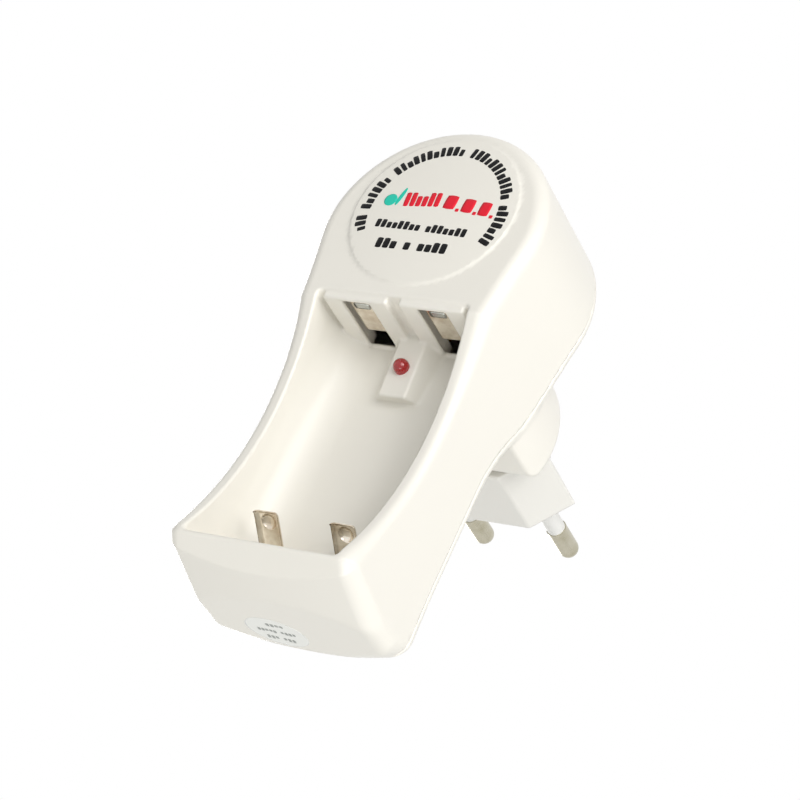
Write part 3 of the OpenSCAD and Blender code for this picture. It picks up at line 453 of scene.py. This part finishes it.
def boss_field(x, y, z, inset=0.0):
    """Height above the round boss behind the head, with a flat underside, drawn in by inset."""
    ring = np.hypot(x, z) - BOSS_R
    low = BOSS_LOW_Z - z
    high = y - BOSS_BACK_Y
    plain = corner(corner(ring, low, BOSS_LOW_ROUND, BOSS_LOW_COS), high, BOSS_BACK_ROUND)
    under = corner(low, high, BOSS_UNDER_ROUND)
    return np.maximum(np.maximum(plain, under) + inset, BOSS_FRONT_Y - y)


def rear_shell_field(x, y, z):
    """Rear moulding: the shallow cover with its round edge, the boss and the screw holes.

    Its room leaves a post round every screw, as long as the screws need.
    """
    behind = (y - back_place(z)) * back_slope(z)
    outline = outline_field(x, y, z)
    parting = (back_place(z) - RIM_W - y) * back_slope(z)
    cover = corner(outline, behind, REAR_EDGE_R)
    cover = corner(cover, parting + SEAM_GAP, SMALL_ROUND)
    cover = fillet(cover, boss_field(x, y, z), BOSS_FILLET)
    screws = [np.hypot(np.abs(x) - screw_x, z - screw_z) for screw_x, screw_z in SCREWS]
    posts = np.maximum(np.minimum(*screws) - POST_R, back_place(z) - POST_L - y)
    room = np.maximum(outline + WALL, behind + WALL)
    room = np.minimum(room, np.maximum(boss_field(x, y, z, WALL), BOSS_ROOM_Y - y))
    shell = without(cover, np.maximum(room, -posts), SMALL_ROUND)
    for screw in screws:
        head = np.maximum(screw - SCREW_HEAD_R, back_place(z) - SCREW_HEAD_L - y)
        shell = without(shell, np.minimum(head, screw - SCREW_BORE_R), SMALL_ROUND)
    neck = box_field(x, y, z, *NECK_HOLE, NECK_HOLE_ROUND)
    return without(shell, neck, SMALL_ROUND)


def hex_field(x, z, w, t):
    """Height above a six-sided section: two flats at +-t and four slopes that meet at +-w."""
    slope = math.hypot(t, w - PLUG_CUT)
    sides = (t * (np.abs(x) - w) + (w - PLUG_CUT) * np.abs(z)) / slope
    return corner(sides, np.abs(z) - t, PLUG_ROUND, (w - PLUG_CUT) / slope)


def plug_field(x, y, z):
    """Six-sided plug block with soft edges, its root collar and neck, less the bores of both pins."""
    block = hex_field(x, z, PLUG_HALF_W, PLUG_HALF_T)
    block = corner(block, np.abs(x) - PLUG_HALF_W, PLUG_EDGE_ROUND, PLUG_EDGE_COS)
    block = np.maximum(corner(block, y, PLUG_FACE_ROUND), PLUG_ROOT_Y - y)
    collar = hex_field(x, z, COLLAR_HALF_W, COLLAR_HALF_T)
    collar = corner(collar, np.abs(y - COLLAR_Y) - COLLAR_HALF_L, COLLAR_ROUND)
    neck = box_field(x, y, z, *PLUG_NECK, PLUG_NECK_ROUND)
    solid = np.minimum(np.minimum(block, collar), neck)
    pin = np.hypot(np.abs(x) - PIN_X, z)
    sleeve = np.maximum(pin - SLEEVE_BORE_R, -SLEEVE_BORE_L - y)
    return without(solid, np.minimum(pin - PIN_BORE_R, sleeve), BORE_EDGE_ROUND)


def flap_field(x, y, z):
    """Height above a flap: hinge on X, plate along -Y, its sides and tip rolled down, one dimple.

    The plate's middle lies at the barrel's top less half a sheet. The sides drop by the square of
    the way past ROLL_X from the middle line, the tip by the square of its last millimetre. The
    barrel is a ring round the hinge, and the plate is cut away beside it.
    """
    along = -y
    ball = np.sqrt(np.maximum(DIMPLE_R**2 - x**2 - (along - DIMPLE_AT) ** 2, 0))
    dimple = np.maximum(ball - DIMPLE_R + DIMPLE_H, 0)
    rolled = ROLL_H * ramp(np.abs(x), ROLL_X, FLAP_HALF_W) ** 2 * ramp(along, *ROLL_Y)
    tip = TIP_DROP * ramp(along, FLAP_L - 1, FLAP_L) ** 2
    middle = BARREL_R - SHEET / 2 - rolled - tip + dimple
    rim = corner(np.abs(x) - FLAP_HALF_W, along - FLAP_L, PLATE_CORNER_R)
    rim = np.maximum(rim, PLATE_START_Y - along)
    plate = corner(np.abs(z - middle) - SHEET / 2, rim, SHEET_ROUND)
    beside_barrel = np.maximum(BARREL_X[1] - x, along - BARREL_CLEAR_Y)
    plate = np.maximum(plate, -beside_barrel)
    axis = np.hypot(y, z)
    ring = np.maximum(axis - BARREL_R, BORE_R - axis)
    barrel = np.maximum(ring, np.maximum(BARREL_X[0] - x, x - BARREL_X[1]))
    return np.minimum(plate, barrel)


# Skins of the fields

SETTLE_ROUNDS = 4
SETTLE_STEP = 0.01
LEAST_SLOPE = 0.2
MOST_MOVE = 0.3
SHADE_STEP = 0.06
LEAST_LIKENESS = 0.97


def planes(*stretches):
    """Grid planes: each stretch is (start, end, spacing), and neighbours share their ends."""
    parts = [
        np.linspace(a, b, max(int(round(abs(b - a) / step)), 1), endpoint=False)
        for a, b, step in stretches
    ]
    return np.append(np.concatenate(parts), stretches[-1][1])


def skin(field, xs, ys, zs):
    """Closed skin of the solid where field is below zero.

    Every grid cell with both signs at its corners gets one vertex, at the mean of the places where
    its edges cross zero. Every grid edge that crosses zero gets one quad between its four cells.
    The vertices then slide down the field's slope until they lie on the surface itself.
    """
    x, y, z = np.meshgrid(xs, ys, zs, indexing="ij")
    height = field(x, y, z)
    solid = height < 0
    shape = tuple(n - 1 for n in height.shape)
    corners = np.zeros(shape, np.int8)
    for i in (0, 1):
        for j in (0, 1):
            for k in (0, 1):
                corners += solid[i : shape[0] + i, j : shape[1] + j, k : shape[2] + k]
    mixed = (corners > 0) & (corners < 8)
    number = np.full(shape, -1, np.int64)
    number[mixed] = np.arange(mixed.sum())
    total = np.zeros((mixed.sum(), 3))
    hits = np.zeros(mixed.sum())
    grid = (xs, ys, zs)
    quads = []
    for axis in range(3):
        along = np.moveaxis(height, axis, 0)
        e, m, n = np.nonzero((along[:-1] < 0) != (along[1:] < 0))
        first, second = along[:-1][e, m, n], along[1:][e, m, n]
        share = first / (first - second)
        others = [k for k in range(3) if k != axis]
        point = np.empty((len(e), 3))
        point[:, axis] = grid[axis][e] + share * (grid[axis][e + 1] - grid[axis][e])
        point[:, others[0]] = grid[others[0]][m]
        point[:, others[1]] = grid[others[1]][n]
        cells = np.moveaxis(number, axis, 0)
        ring = [cells[e, m - 1, n - 1], cells[e, m, n - 1], cells[e, m, n], cells[e, m - 1, n]]
        for cell in ring:
            np.add.at(total, cell, point)
            np.add.at(hits, cell, 1)
        quad = np.stack(ring, axis=1)
        flip = (first < 0) == (axis == 1)
        quad[flip] = quad[flip][:, ::-1]
        quads.append(quad)
    return settle(field, total / hits[:, None]), np.concatenate(quads)


def settle(field, verts):
    """Moves points on to the surface: each round goes back by height over slope, along the slope."""
    for _ in range(SETTLE_ROUNDS):
        slope = slope_at(field, verts, SETTLE_STEP)
        size = np.maximum((slope**2).sum(axis=1), LEAST_SLOPE)
        move = np.clip(field(*verts.T) / size, -MOST_MOVE, MOST_MOVE)
        verts = verts - move[:, None] * slope
    return verts


def slope_at(field, verts, h):
    """Slope of a field at points: the change between places h to either side, over the way between."""
    x, y, z = verts.T
    changes = [
        field(x + h, y, z) - field(x - h, y, z),
        field(x, y + h, z) - field(x, y - h, z),
        field(x, y, z + h) - field(x, y, z - h),
    ]
    return np.stack(changes, axis=1) / (2 * h)


def piece(name, verts, faces, smooth=True):
    """Mesh object from points in millimetres and faces as arrays of corners."""
    mesh = bpy.data.meshes.new(name)
    faces = np.asarray(faces, np.int32)
    sides = faces.shape[1]
    mesh.vertices.add(len(verts))
    mesh.vertices.foreach_set("co", (np.asarray(verts) * MM).astype(np.float32).ravel())
    mesh.loops.add(faces.size)
    mesh.loops.foreach_set("vertex_index", faces.ravel())
    mesh.polygons.add(len(faces))
    mesh.polygons.foreach_set("loop_start", np.arange(0, faces.size, sides, dtype=np.int32))
    mesh.polygons.foreach_set("use_smooth", np.full(len(faces), smooth))
    mesh.update(calc_edges=True)
    mesh.validate()
    obj = bpy.data.objects.new(name, mesh)
    bpy.context.scene.collection.objects.link(obj)
    return obj


def moulding(name, field, grid, body, replaced, lean=0.0, at=(0, 0, 0)):
    """One skinned piece that stands for CAD nodes, leant back about X and moved to its place.

    It is shaded along its field's slope, save at edges, where slope and mesh don't agree.
    """
    verts, faces = skin(field, *grid)
    slope = slope_at(field, verts, SHADE_STEP)
    slope /= np.maximum(np.linalg.norm(slope, axis=1), 0.01)[:, None]
    turn = np.array([
        (1, 0, 0),
        (0, math.cos(lean), -math.sin(lean)),
        (0, math.sin(lean), math.cos(lean)),
    ])
    obj = piece(name, verts @ turn + np.array(at), faces)
    slope = slope @ turn
    plain = np.empty(len(verts) * 3, np.float32)
    obj.data.vertex_normals.foreach_get("vector", plain)
    plain = plain.reshape(-1, 3)
    alike = (slope * plain).sum(axis=1) > LEAST_LIKENESS
    obj.data.normals_split_custom_set_from_vertices(np.where(alike[:, None], slope, plain))
    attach(obj, body)
    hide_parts(*replaced)
    return obj


# Grids of planes along X, Y and Z, closer where small forms are
front_grid = (
    planes((-23.4, 23.4, 0.52)),
    planes(
        (-60.6, -52, 0.42), (-52, -46.6, 0.6), (-46.6, -38.4, 0.45),
        (-38.4, -34.6, 0.9), (-34.6, -28.6, 0.5),
    ),
    planes((-57.4, -42.6, 0.5), (-42.6, -11, 0.6), (-11, 7.2, 0.42), (7.2, 44, 0.8)),
)
front_shell = moulding(
    "front_moulding", front_shell_field, front_grid, "housing", ["front_shell"]
)

rear_grid = (
    planes((-23.4, 23.4, 0.55)),
    planes((-36, -26, 0.45), (-26, -18.4, 0.8), (-18.4, -16.2, 0.45)),
    planes((-57.4, 44, 0.6)),
)
rear_shell = moulding(
    "rear_moulding", rear_shell_field, rear_grid, "housing", ["rear_shell"]
)

plug_grid = (
    planes((-19.2, 19.2, 0.4)),
    planes((-21.2, -14.6, 0.4), (-14.6, -2.6, 0.8), (-2.6, 0.8, 0.3)),
    planes((-7.8, 7.8, 0.4)),
)
plug_block = moulding("plug_moulding", plug_field, plug_grid, "housing", ["plug_block"])

flap_grid = (
    planes((-2.8, 2.8, 0.16)),
    planes((-13.6, -8.8, 0.16), (-8.8, -2.4, 0.32), (-2.4, 1.6, 0.2)),
    planes((-1.6, 0, 0.2), (0, 2.2, 0.1)),
)
flaps = [
    moulding(
        side + "_flap_sheet", flap_field, flap_grid, side + "_flap", [side + "_flap"],
        FLAP_LEAN, (x, HINGE_Y, HINGE_Z),
    )
    for side, x in (("left", -CELL_X), ("right", CELL_X))
]


# Label, sticker and the painted shade of the leaves' folds

PAD_DEPTH = 0.15
END_SEARCH_Z = (-58.0, -46.0)
END_SEARCH_ROUNDS = 30
ARC_GAP = 1.0
ARC_LOW = 0.72
ARC_WIDE = 0.41
ARC_NARROW = 0.33
ROW_GAP = 0.9
ROW_LOW = 0.74


def dome_y(x, z):
    """Depth of the label dome's surface: the front of a ball's cap."""
    return DOME_BALL_Y - np.sqrt(DOME_BALL_R**2 - x**2 - (z - DOME_Z) ** 2)


def end_z(x, y):
    """Height of the lower end's surface: the place between two heights where its field is zero."""
    low, high = (np.full(x.shape, z) for z in END_SEARCH_Z)
    for _ in range(END_SEARCH_ROUNDS):
        z = (low + high) / 2
        out = end_field(x, y, z) > 0
        low, high = np.where(out, z, low), np.where(out, high, z)
    return (low + high) / 2


def pads(name, marks, side, surface, out, rise=0.03, soft=0.35):
    """Thin flat pads that lie on a curved surface.

    marks holds each pad's centre, half length, half height and turn in degrees. A square grid is
    pulled in towards its corners by soft, scaled, turned and laid on the surface; the same grid
    sunk into it closes the pad below, and a wall of quads joins their rims.
    """
    c1, c2, half1, half2, turn = np.array(marks, float).T[:, :, None, None]
    u, v = np.meshgrid(np.linspace(-1, 1, side), np.linspace(-1, 1, side), indexing="ij")
    a = u * np.sqrt(1 - soft * v**2 / 2) * half1
    b = v * np.sqrt(1 - soft * u**2 / 2) * half2
    turn = np.radians(turn)
    p1 = c1 + a * np.cos(turn) - b * np.sin(turn)
    p2 = c2 + a * np.sin(turn) + b * np.cos(turn)
    top = surface(p1, p2, rise)
    low = surface(p1, p2, -PAD_DEPTH)
    n = side * side
    verts = np.concatenate([top.reshape(len(marks), n, 3), low.reshape(len(marks), n, 3)], axis=1)
    k = np.arange(n).reshape(side, side)
    face = np.stack([k[:-1, :-1], k[1:, :-1], k[1:, 1:], k[:-1, 1:]], axis=-1).reshape(-1, 4)
    rim = np.concatenate([k[:-1, 0], k[-1, :-1], k[:0:-1, -1], k[0, :0:-1]])
    after = np.roll(rim, -1)
    wall = np.stack([rim, rim + n, after + n, after], axis=1)
    one = np.concatenate([face, face[:, ::-1] + n, wall])
    if not out:
        one = one[:, ::-1]
    faces = one[None] + (np.arange(len(marks)) * 2 * n)[:, None, None]
    return piece(name, verts.reshape(-1, 3), faces.reshape(-1, 4))


def on_dome(x, z, rise):
    """Points on the label dome, standing out of it by rise."""
    return np.stack([x, dome_y(x, z) - rise, z], axis=-1)


def on_end(x, y, rise):
    """Points on the lower end, standing out of it by rise."""
    return np.stack([x, y, end_z(x, y) - rise], axis=-1)


def on_leaf(x, y, rise):
    """Points under the positive contacts' leaves, standing out of them by rise."""
    return np.stack([x, y, LEAF_Z - rise + 0 * x], axis=-1)


def arc_marks(centre, radius, start, stop, words, half_h):
    """Blocks along an arc from start to stop degrees, in groups of the given sizes.

    Every block takes one place and groups are ARC_GAP places apart. Some blocks are lower or
    narrower than the rest, and the lower ones stand on the same inner line.
    """
    places = sum(words) + ARC_GAP * (len(words) - 1)
    step = (stop - start) / places
    marks = []
    at = 0.5
    for w, size in enumerate(words):
        for k in range(size):
            a = math.radians(start + step * at)
            tall = half_h * (1.0 if (k * 5 + w * 3) % 4 else ARC_LOW)
            r = radius - (half_h - tall)
            width = abs(math.radians(step)) * radius * (ARC_WIDE if (k + w) % 3 else ARC_NARROW)
            x, z = centre[0] + r * math.cos(a), centre[1] + r * math.sin(a)
            marks.append((x, z, width, tall, math.degrees(a) - 90))
            at += 1
        at += ARC_GAP
    return marks


def row_marks(start, stop, words, half_h, fill=0.36):
    """Blocks along a straight row from start to stop, in groups ROW_GAP places apart."""
    places = sum(words) + ROW_GAP * (len(words) - 1)
    start, stop = np.array(start), np.array(stop)
    run = (stop - start) / places
    turn = math.degrees(math.atan2(run[1], run[0]))
    marks = []
    at = 0.5
    for w, size in enumerate(words):
        for k in range(size):
            tall = half_h * (1.0 if (k * 3 + w) % 4 in (0, 3) else ROW_LOW)
            x, z = start + run * at
            marks.append((x, z - (half_h - tall), np.hypot(*run) * fill, tall, turn))
            at += 1
        at += ROW_GAP
    return marks


# Single marks are (centre across, centre up, half length, half height, turn in degrees)
black_marks = arc_marks((0.0, 22.9), 14.2, 204, -25, (3, 6, 11, 12, 7), 1.15)
black_marks += row_marks((-10.4, 19.4), (9.1, 18.8), (8, 7), 0.9, 0.4)
black_marks += row_marks((-8.4, 15.1), (6.7, 15.0), (3, 1, 4), 1.1, 0.42)
red_marks = row_marks((-6.7, 25.0), (0.9, 25.5), (6,), 1.6, 0.42)
red_marks += [(3.1, 25.2, 1.25, 1.55, -3), (6.9, 24.8, 1.2, 1.55, -3), (10.4, 24.5, 1.1, 1.55, -3)]
red_marks += [(5.0, 23.6, 0.36, 0.36, 0), (8.7, 23.3, 0.36, 0.36, 0), (12.2, 23.0, 0.36, 0.36, 0)]
teal_marks = [(-9.6, 24.7, 1.35, 1.35, 0), (-7.7, 25.6, 0.42, 2.1, -12)]
label_black = pads("label_print_black", black_marks, 4, on_dome, True)
label_red = pads("label_print_red", red_marks, 5, on_dome, True)
label_teal = pads("label_print_teal", teal_marks, 8, on_dome, True, soft=1.0)

sticker_mark = (-3.6, -38.6, 6.3, 4.2, 8)
sticker = pads("end_sticker", [sticker_mark], 24, on_end, False, rise=0.04, soft=1.0)
grey_marks = row_marks((-6.6, -36.6), (-0.6, -36.2), (3, 3), 0.5, 0.36)
grey_marks += row_marks((-7.6, -38.8), (0.4, -38.4), (5, 4), 0.45, 0.38)
grey_marks += row_marks((-5.0, -40.8), (-1.2, -40.6), (4,), 0.45, 0.36)
sticker_print = pads("sticker_print", grey_marks, 4, on_end, False, rise=0.06)

# Thin grey metal strips under each contact leaf: painted shade of the leaf's fold, darker than the nickel
# round it.
fold_shade_marks = [(x, -52.3, 1.7, 0.75, 0) for x in (-CELL_X, CELL_X)]
fold_shades = pads("leaf_fold_shades", fold_shade_marks, 6, on_leaf, False, rise=0.12)
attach(fold_shades, "housing")
for printed in (label_black, label_red, label_teal, sticker, sticker_print):
    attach(printed, "housing")


# Materials

FLOAT, COLOUR = "NodeSocketFloat", "NodeSocketColor"
MIX_SHARE, MIX_FIRST, MIX_SECOND, MIX_RESULT = 0, 6, 7, 2
PATCH_SCALE = 35.0
GLOSS_SCALE = 300.0
GRAIN_SCALE = 1800.0
STAIN_SCALE = 260.0
PATCH_SPAN = (0.35, 0.65)
GLOSS_SPAN = (0.3, 0.7)
STAIN_SPAN = (0.4, 0.68)
LINE_STRETCH = (1.0, 0.06, 0.25)
BUMP_DISTANCE = 0.0001


def new_group(name, inputs, outputs):
    """Empty shader node group with its sockets."""
    tree = bpy.data.node_groups.new(name, "ShaderNodeTree")
    for label, kind, value in inputs:
        made = tree.interface.new_socket(label, in_out="INPUT", socket_type=kind)
        made.default_value = value
    for label, kind in outputs:
        tree.interface.new_socket(label, in_out="OUTPUT", socket_type=kind)
    return tree, tree.nodes.new("NodeGroupInput"), tree.nodes.new("NodeGroupOutput")


def add(tree, kind, links=(), **values):
    """Node with its properties set and its inputs linked or set."""
    node = tree.nodes.new(kind)
    for key, value in values.items():
        setattr(node, key, value)
    for key, value in dict(links).items():
        if isinstance(value, bpy.types.NodeSocket):
            tree.links.new(value, node.inputs[key])
        else:
            node.inputs[key].default_value = value
    return node


def noise(tree, place, scale, detail=2.0, roughness=0.5):
    """Noise value in object space."""
    inputs = {"Vector": place, "Scale": scale, "Detail": detail, "Roughness": roughness}
    return add(tree, "ShaderNodeTexNoise", inputs).outputs["Fac"]


def spread(tree, value, low, high, to_low=0.0, to_high=1.0):
    """Value carried from the range low to high to another range and held inside it."""
    inputs = {"Value": value, "From Min": low, "From Max": high, "To Min": to_low, "To Max": to_high}
    return add(tree, "ShaderNodeMapRange", inputs).outputs["Result"]


def effect_group(name, own_inputs):
    """Effect group's tree, its input node and its output node, with the sockets that all groups have."""
    return new_group(
        name,
        [
            ("Colour", COLOUR, (1, 1, 1, 1)), ("Shade", COLOUR, (1, 1, 1, 1)),
            ("Rough Low", FLOAT, 0.25), ("Rough High", FLOAT, 0.35), *own_inputs,
        ],
        [("Colour", COLOUR), ("Roughness", FLOAT), ("Height", FLOAT)],
    )


def end_effect(tree, given, result, mask, gloss, height):
    """End of an effect group: the mask blends both colours and the gloss value sets the roughness."""
    blended = add(
        tree, "ShaderNodeMix",
        {MIX_SHARE: mask, MIX_FIRST: given.outputs["Colour"], MIX_SECOND: given.outputs["Shade"]},
        data_type="RGBA",
    )
    rough = spread(tree, gloss, *GLOSS_SPAN, given.outputs["Rough Low"], given.outputs["Rough High"])
    tree.links.new(blended.outputs[MIX_RESULT], result.inputs["Colour"])
    tree.links.new(rough, result.inputs["Roughness"])
    tree.links.new(height, result.inputs["Height"])
    return tree


def mottle_group():
    """Slow colour drift, uneven gloss and fine surface waves, as moulded material has."""
    scales = [("Patch Scale", FLOAT, 40.0), ("Grain Scale", FLOAT, 2500.0)]
    tree, given, result = effect_group("mottle", scales)
    place = add(tree, "ShaderNodeTexCoord").outputs["Object"]
    patch = noise(tree, place, given.outputs["Patch Scale"], 3.0)
    gloss = noise(tree, place, GLOSS_SCALE, 4.0, 0.6)
    grain = noise(tree, place, given.outputs["Grain Scale"], 2.0)
    return end_effect(tree, given, result, spread(tree, patch, *PATCH_SPAN), gloss, grain)


def brushed_group():
    """Fine lines across one axis and faint stains, for rolled sheet and drawn pins."""
    tree, given, result = effect_group("brushed", [("Line Scale", FLOAT, 900.0)])
    place = add(tree, "ShaderNodeTexCoord").outputs["Object"]
    drawn = add(tree, "ShaderNodeMapping", {"Vector": place, "Scale": LINE_STRETCH})
    lines = noise(tree, drawn.outputs["Vector"], given.outputs["Line Scale"], 3.0, 0.6)
    stain = noise(tree, place, STAIN_SCALE, 3.0, 0.6)
    return end_effect(tree, given, result, spread(tree, stain, *STAIN_SPAN), lines, lines)


MOTTLE = mottle_group()
BRUSHED = brushed_group()


def finish(name, group, colour, shade, rough, scales, bump, **sockets):
    """Material: one effect group into a Principled shader, whose constants sit on its own sockets."""
    material = bpy.data.materials.new(name)
    material.use_nodes = True
    tree = material.node_tree
    tree.nodes.clear()
    inputs = {"Colour": (*colour, 1), "Shade": (*shade, 1), "Rough Low": rough[0], "Rough High": rough[1]}
    effect = add(tree, "ShaderNodeGroup", {**inputs, **scales}, node_tree=group)
    wave = add(
        tree, "ShaderNodeBump",
        {"Height": effect.outputs["Height"], "Strength": bump, "Distance": BUMP_DISTANCE},
    )
    constants = {key.replace("_", " "): value for key, value in sockets.items()}
    shader = add(
        tree, "ShaderNodeBsdfPrincipled",
        {
            "Base Color": effect.outputs["Colour"], "Roughness": effect.outputs["Roughness"],
            "Normal": wave.outputs["Normal"], **constants,
        },
    )
    add(tree, "ShaderNodeOutputMaterial", {"Surface": shader.outputs["BSDF"]})
    return material


def plastic(name, colour, drift=0.97, rough=(0.24, 0.34), bump=0.06, **sockets):
    """Moulded plastic of one colour."""
    shade = tuple(c * drift for c in colour)
    scales = {"Patch Scale": PATCH_SCALE, "Grain Scale": GRAIN_SCALE}
    return finish(name, MOTTLE, colour, shade, rough, scales, bump, **sockets)


def print_ink(name, colour, drift, gloss_share):
    """Flat printed ink with a weak gloss."""
    return plastic(name, colour, drift, (0.45, 0.55), 0.02, Specular_IOR_Level=gloss_share)


def metal(name, colour, shade, rough=(0.2, 0.36), bump=0.12, lines=900.0):
    """Bare or plated metal with fine lines and faint stains."""
    return finish(name, BRUSHED, colour, shade, rough, {"Line Scale": lines}, bump, Metallic=1.0)


WARM_WHITE = (0.855, 0.835, 0.775)
finishes = {
    "housing_plastic": plastic("warm_white_abs", WARM_WHITE, 0.995, (0.28, 0.33), 0.0),
    "plug_plastic": plastic("plug_white", (0.82, 0.81, 0.77), 0.98, (0.3, 0.42), 0.08),
    "pin_metal": metal("plated_pin", (0.55, 0.52, 0.42), (0.46, 0.43, 0.32), (0.22, 0.36), 0.1),
    "sleeve_plastic": plastic("sleeve_white", (0.80, 0.80, 0.78), 0.96, (0.42, 0.55), 0.1),
    "contact_metal": metal("nickel_sheet", (0.88, 0.82, 0.72), (0.60, 0.50, 0.38), (0.08, 0.2), 0.1),
    "hinge_steel": metal("hinge_steel", (0.5, 0.5, 0.5), (0.42, 0.41, 0.4), (0.25, 0.4)),
    "lamp_red": plastic("lamp_red", (0.38, 0.004, 0.007), 0.8, (0.03, 0.06), 0.0, Coat_Weight=0.6),
    "board_laminate": plastic("brown_laminate", (0.42, 0.24, 0.10), 0.8, (0.5, 0.65), 0.3),
    "core_steel": metal("core_sheets", (0.30, 0.30, 0.31), (0.16, 0.14, 0.12), (0.4, 0.6), 0.4, 1600.0),
    "bobbin_plastic": plastic("bobbin_nylon", (0.70, 0.69, 0.64), 0.94, (0.4, 0.5), 0.1),
    "winding_copper": metal(
        "enamelled_copper", (0.50, 0.22, 0.09), (0.32, 0.12, 0.05), (0.3, 0.45), 0.5, 2600.0
    ),
    "diode_black": plastic("diode_black", (0.02, 0.02, 0.02), 0.7, (0.35, 0.5), 0.1),
    "resistor_body": plastic("resistor_lacquer", (0.55, 0.42, 0.24), 0.85, (0.25, 0.35), 0.1),
    "wire_brown": plastic("wire_brown", (0.12, 0.045, 0.02), 0.85, (0.35, 0.45), 0.1),
    "wire_blue": plastic("wire_blue", (0.03, 0.10, 0.42), 0.85, (0.35, 0.45), 0.1),
    "wire_yellow": plastic("wire_yellow", (0.75, 0.50, 0.04), 0.85, (0.35, 0.45), 0.1),
    "wire_red": plastic("wire_red", (0.50, 0.02, 0.02), 0.85, (0.35, 0.45), 0.1),
    "wire_black": plastic("wire_black", (0.02, 0.02, 0.02), 0.8, (0.35, 0.45), 0.1),
    "screw_steel": metal("screw_steel", (0.45, 0.45, 0.44), (0.35, 0.34, 0.32), (0.3, 0.42)),
}
for part in frame["record"]["subparts"]:
    for place in nodes[part["node"]].material_slots:
        place.material = finishes[part["material_slot"]]
pieces = {
    front_shell: finishes["housing_plastic"],
    rear_shell: finishes["housing_plastic"],
    plug_block: finishes["plug_plastic"],
    label_black: print_ink("print_black", (0.006, 0.006, 0.007), 0.8, 0.15),
    label_red: print_ink("print_red", (0.80, 0.018, 0.04), 0.9, 0.2),
    label_teal: print_ink("print_teal", (0.03, 0.62, 0.47), 0.9, 0.2),
    sticker: plastic("sticker_film", (0.86, 0.875, 0.84), 0.985, (0.12, 0.2), 0.0, Coat_Weight=0.5),
    sticker_print: plastic("print_grey", (0.34, 0.36, 0.34), 0.9, (0.3, 0.4), 0.02),
    # Darker grey metal for the fold strips: painted shade of the leaves' folds.
    fold_shades: metal("painted_fold_shade", (0.56, 0.58, 0.56), (0.45, 0.46, 0.44), (0.15, 0.25), 0.0),
}
pieces.update({flap: finishes["contact_metal"] for flap in flaps})
for obj, material in pieces.items():
    obj.data.materials.append(material)


# Camera, light and floor

FOCAL_PIXELS = 2780.0
IMAGE_PIXELS = 800
SENSOR_MM = 36
CAMERA_AT = (262.924, -399.918, -228.346)
CAMERA_RIGHT = (0.84092, 0.37586, 0.38935)
CAMERA_FORWARD = (-0.52894, 0.72293, 0.44452)
LAMP_SIZE = 0.6
SOFT_LIGHT = 0.41
SOFT_COLOUR = (1.0, 0.99, 0.955, 1)
FLOOR_HALF = 4000.0
FLOOR_Z = -1100.0
FLOOR_GLOW = 0.5


def stand(data, right, up, back, at):
    """Camera or lamp from its data, with its three axes and its place in metres."""
    obj = bpy.data.objects.new(data.name, data)
    bpy.context.scene.collection.objects.link(obj)
    place = np.eye(4)
    place[:3, :4] = np.stack([right, up, back, at], axis=1)
    obj.matrix_world = Matrix(place.tolist())
    return obj


def lamp(name, at, power, colour=(1, 1, 1)):
    """Square soft lamp at a place in metres, facing the middle of the object."""
    data = bpy.data.lights.new(name, "AREA")
    data.size = LAMP_SIZE
    data.energy = power
    data.color = colour
    back = np.array(at) / np.linalg.norm(at)
    across = np.cross((0, 0, 1), back)
    across /= np.linalg.norm(across)
    return stand(data, across, np.cross(back, across), back, at)


def seen_directly(tree, *more):
    """1 for camera and glossy rays, and for other kinds of ray that are named, else 0."""
    ray = add(tree, "ShaderNodeLightPath")
    seen = ray.outputs["Is Camera Ray"]
    for kind in ("Is Glossy Ray", *more):
        seen = add(tree, "ShaderNodeMath", {0: seen, 1: ray.outputs[kind]}, operation="MAXIMUM").outputs[0]
    return seen


def glow_where_seen(material, strength):
    """Lets a material shine white for camera and glossy rays only, so that it lights nothing."""
    tree = material.node_tree
    seen = seen_directly(tree)
    glow = add(tree, "ShaderNodeMath", {0: seen, 1: strength}, operation="MULTIPLY")
    shader = next(node for node in tree.nodes if node.type == "BSDF_PRINCIPLED")
    shader.inputs["Emission Color"].default_value = (1, 1, 1, 1)
    tree.links.new(glow.outputs[0], shader.inputs["Emission Strength"])


camera_data = bpy.data.cameras.new("camera")
camera_data.lens = FOCAL_PIXELS / IMAGE_PIXELS * SENSOR_MM
camera_data.sensor_width = SENSOR_MM
camera_data.clip_start = 0.01
camera_up = np.cross(CAMERA_RIGHT, CAMERA_FORWARD)
camera_back = -np.array(CAMERA_FORWARD)
camera = stand(camera_data, CAMERA_RIGHT, camera_up, camera_back, np.array(CAMERA_AT) * MM)
bpy.context.scene.camera = camera
bpy.context.scene.view_settings.view_transform = "Standard"

lamp("key_lamp", (0.85, -0.45, 0.2), 4.65, (1.0, 0.985, 0.965))
lamp("front_lamp", (0.6, -0.8, 0.1), 3.3)
lamp("low_lamp", (0.3, -0.15, -0.85), 3.2)
lamp("back_lamp", (-0.75, 0.6, 0.25), 4.5)

world = bpy.data.worlds.new("studio")
bpy.context.scene.world = world
world.use_nodes = True
sky = world.node_tree
sky.nodes.clear()
soft = add(sky, "ShaderNodeBackground", {"Color": SOFT_COLOUR, "Strength": SOFT_LIGHT})
white = add(sky, "ShaderNodeBackground", {"Color": (1, 1, 1, 1), "Strength": 1.0})
seen = seen_directly(sky, "Is Transmission Ray")
blend = add(sky, "ShaderNodeMixShader", {0: seen, 1: soft.outputs[0], 2: white.outputs[0]})
add(sky, "ShaderNodeOutputWorld", {"Surface": blend.outputs[0]})

floor_corners = np.array([(-1, -1, 0), (1, -1, 0), (1, 1, 0), (-1, 1, 0)]) * FLOOR_HALF
floor = piece("floor", floor_corners + np.array((0, 0, FLOOR_Z)), [(0, 1, 2, 3)], smooth=False)
floor_finish = plastic("pale_floor", (0.9, 0.9, 0.89), 0.99, (0.6, 0.7), 0.0)
glow_where_seen(floor_finish, FLOOR_GLOW)
floor.data.materials.append(floor_finish)
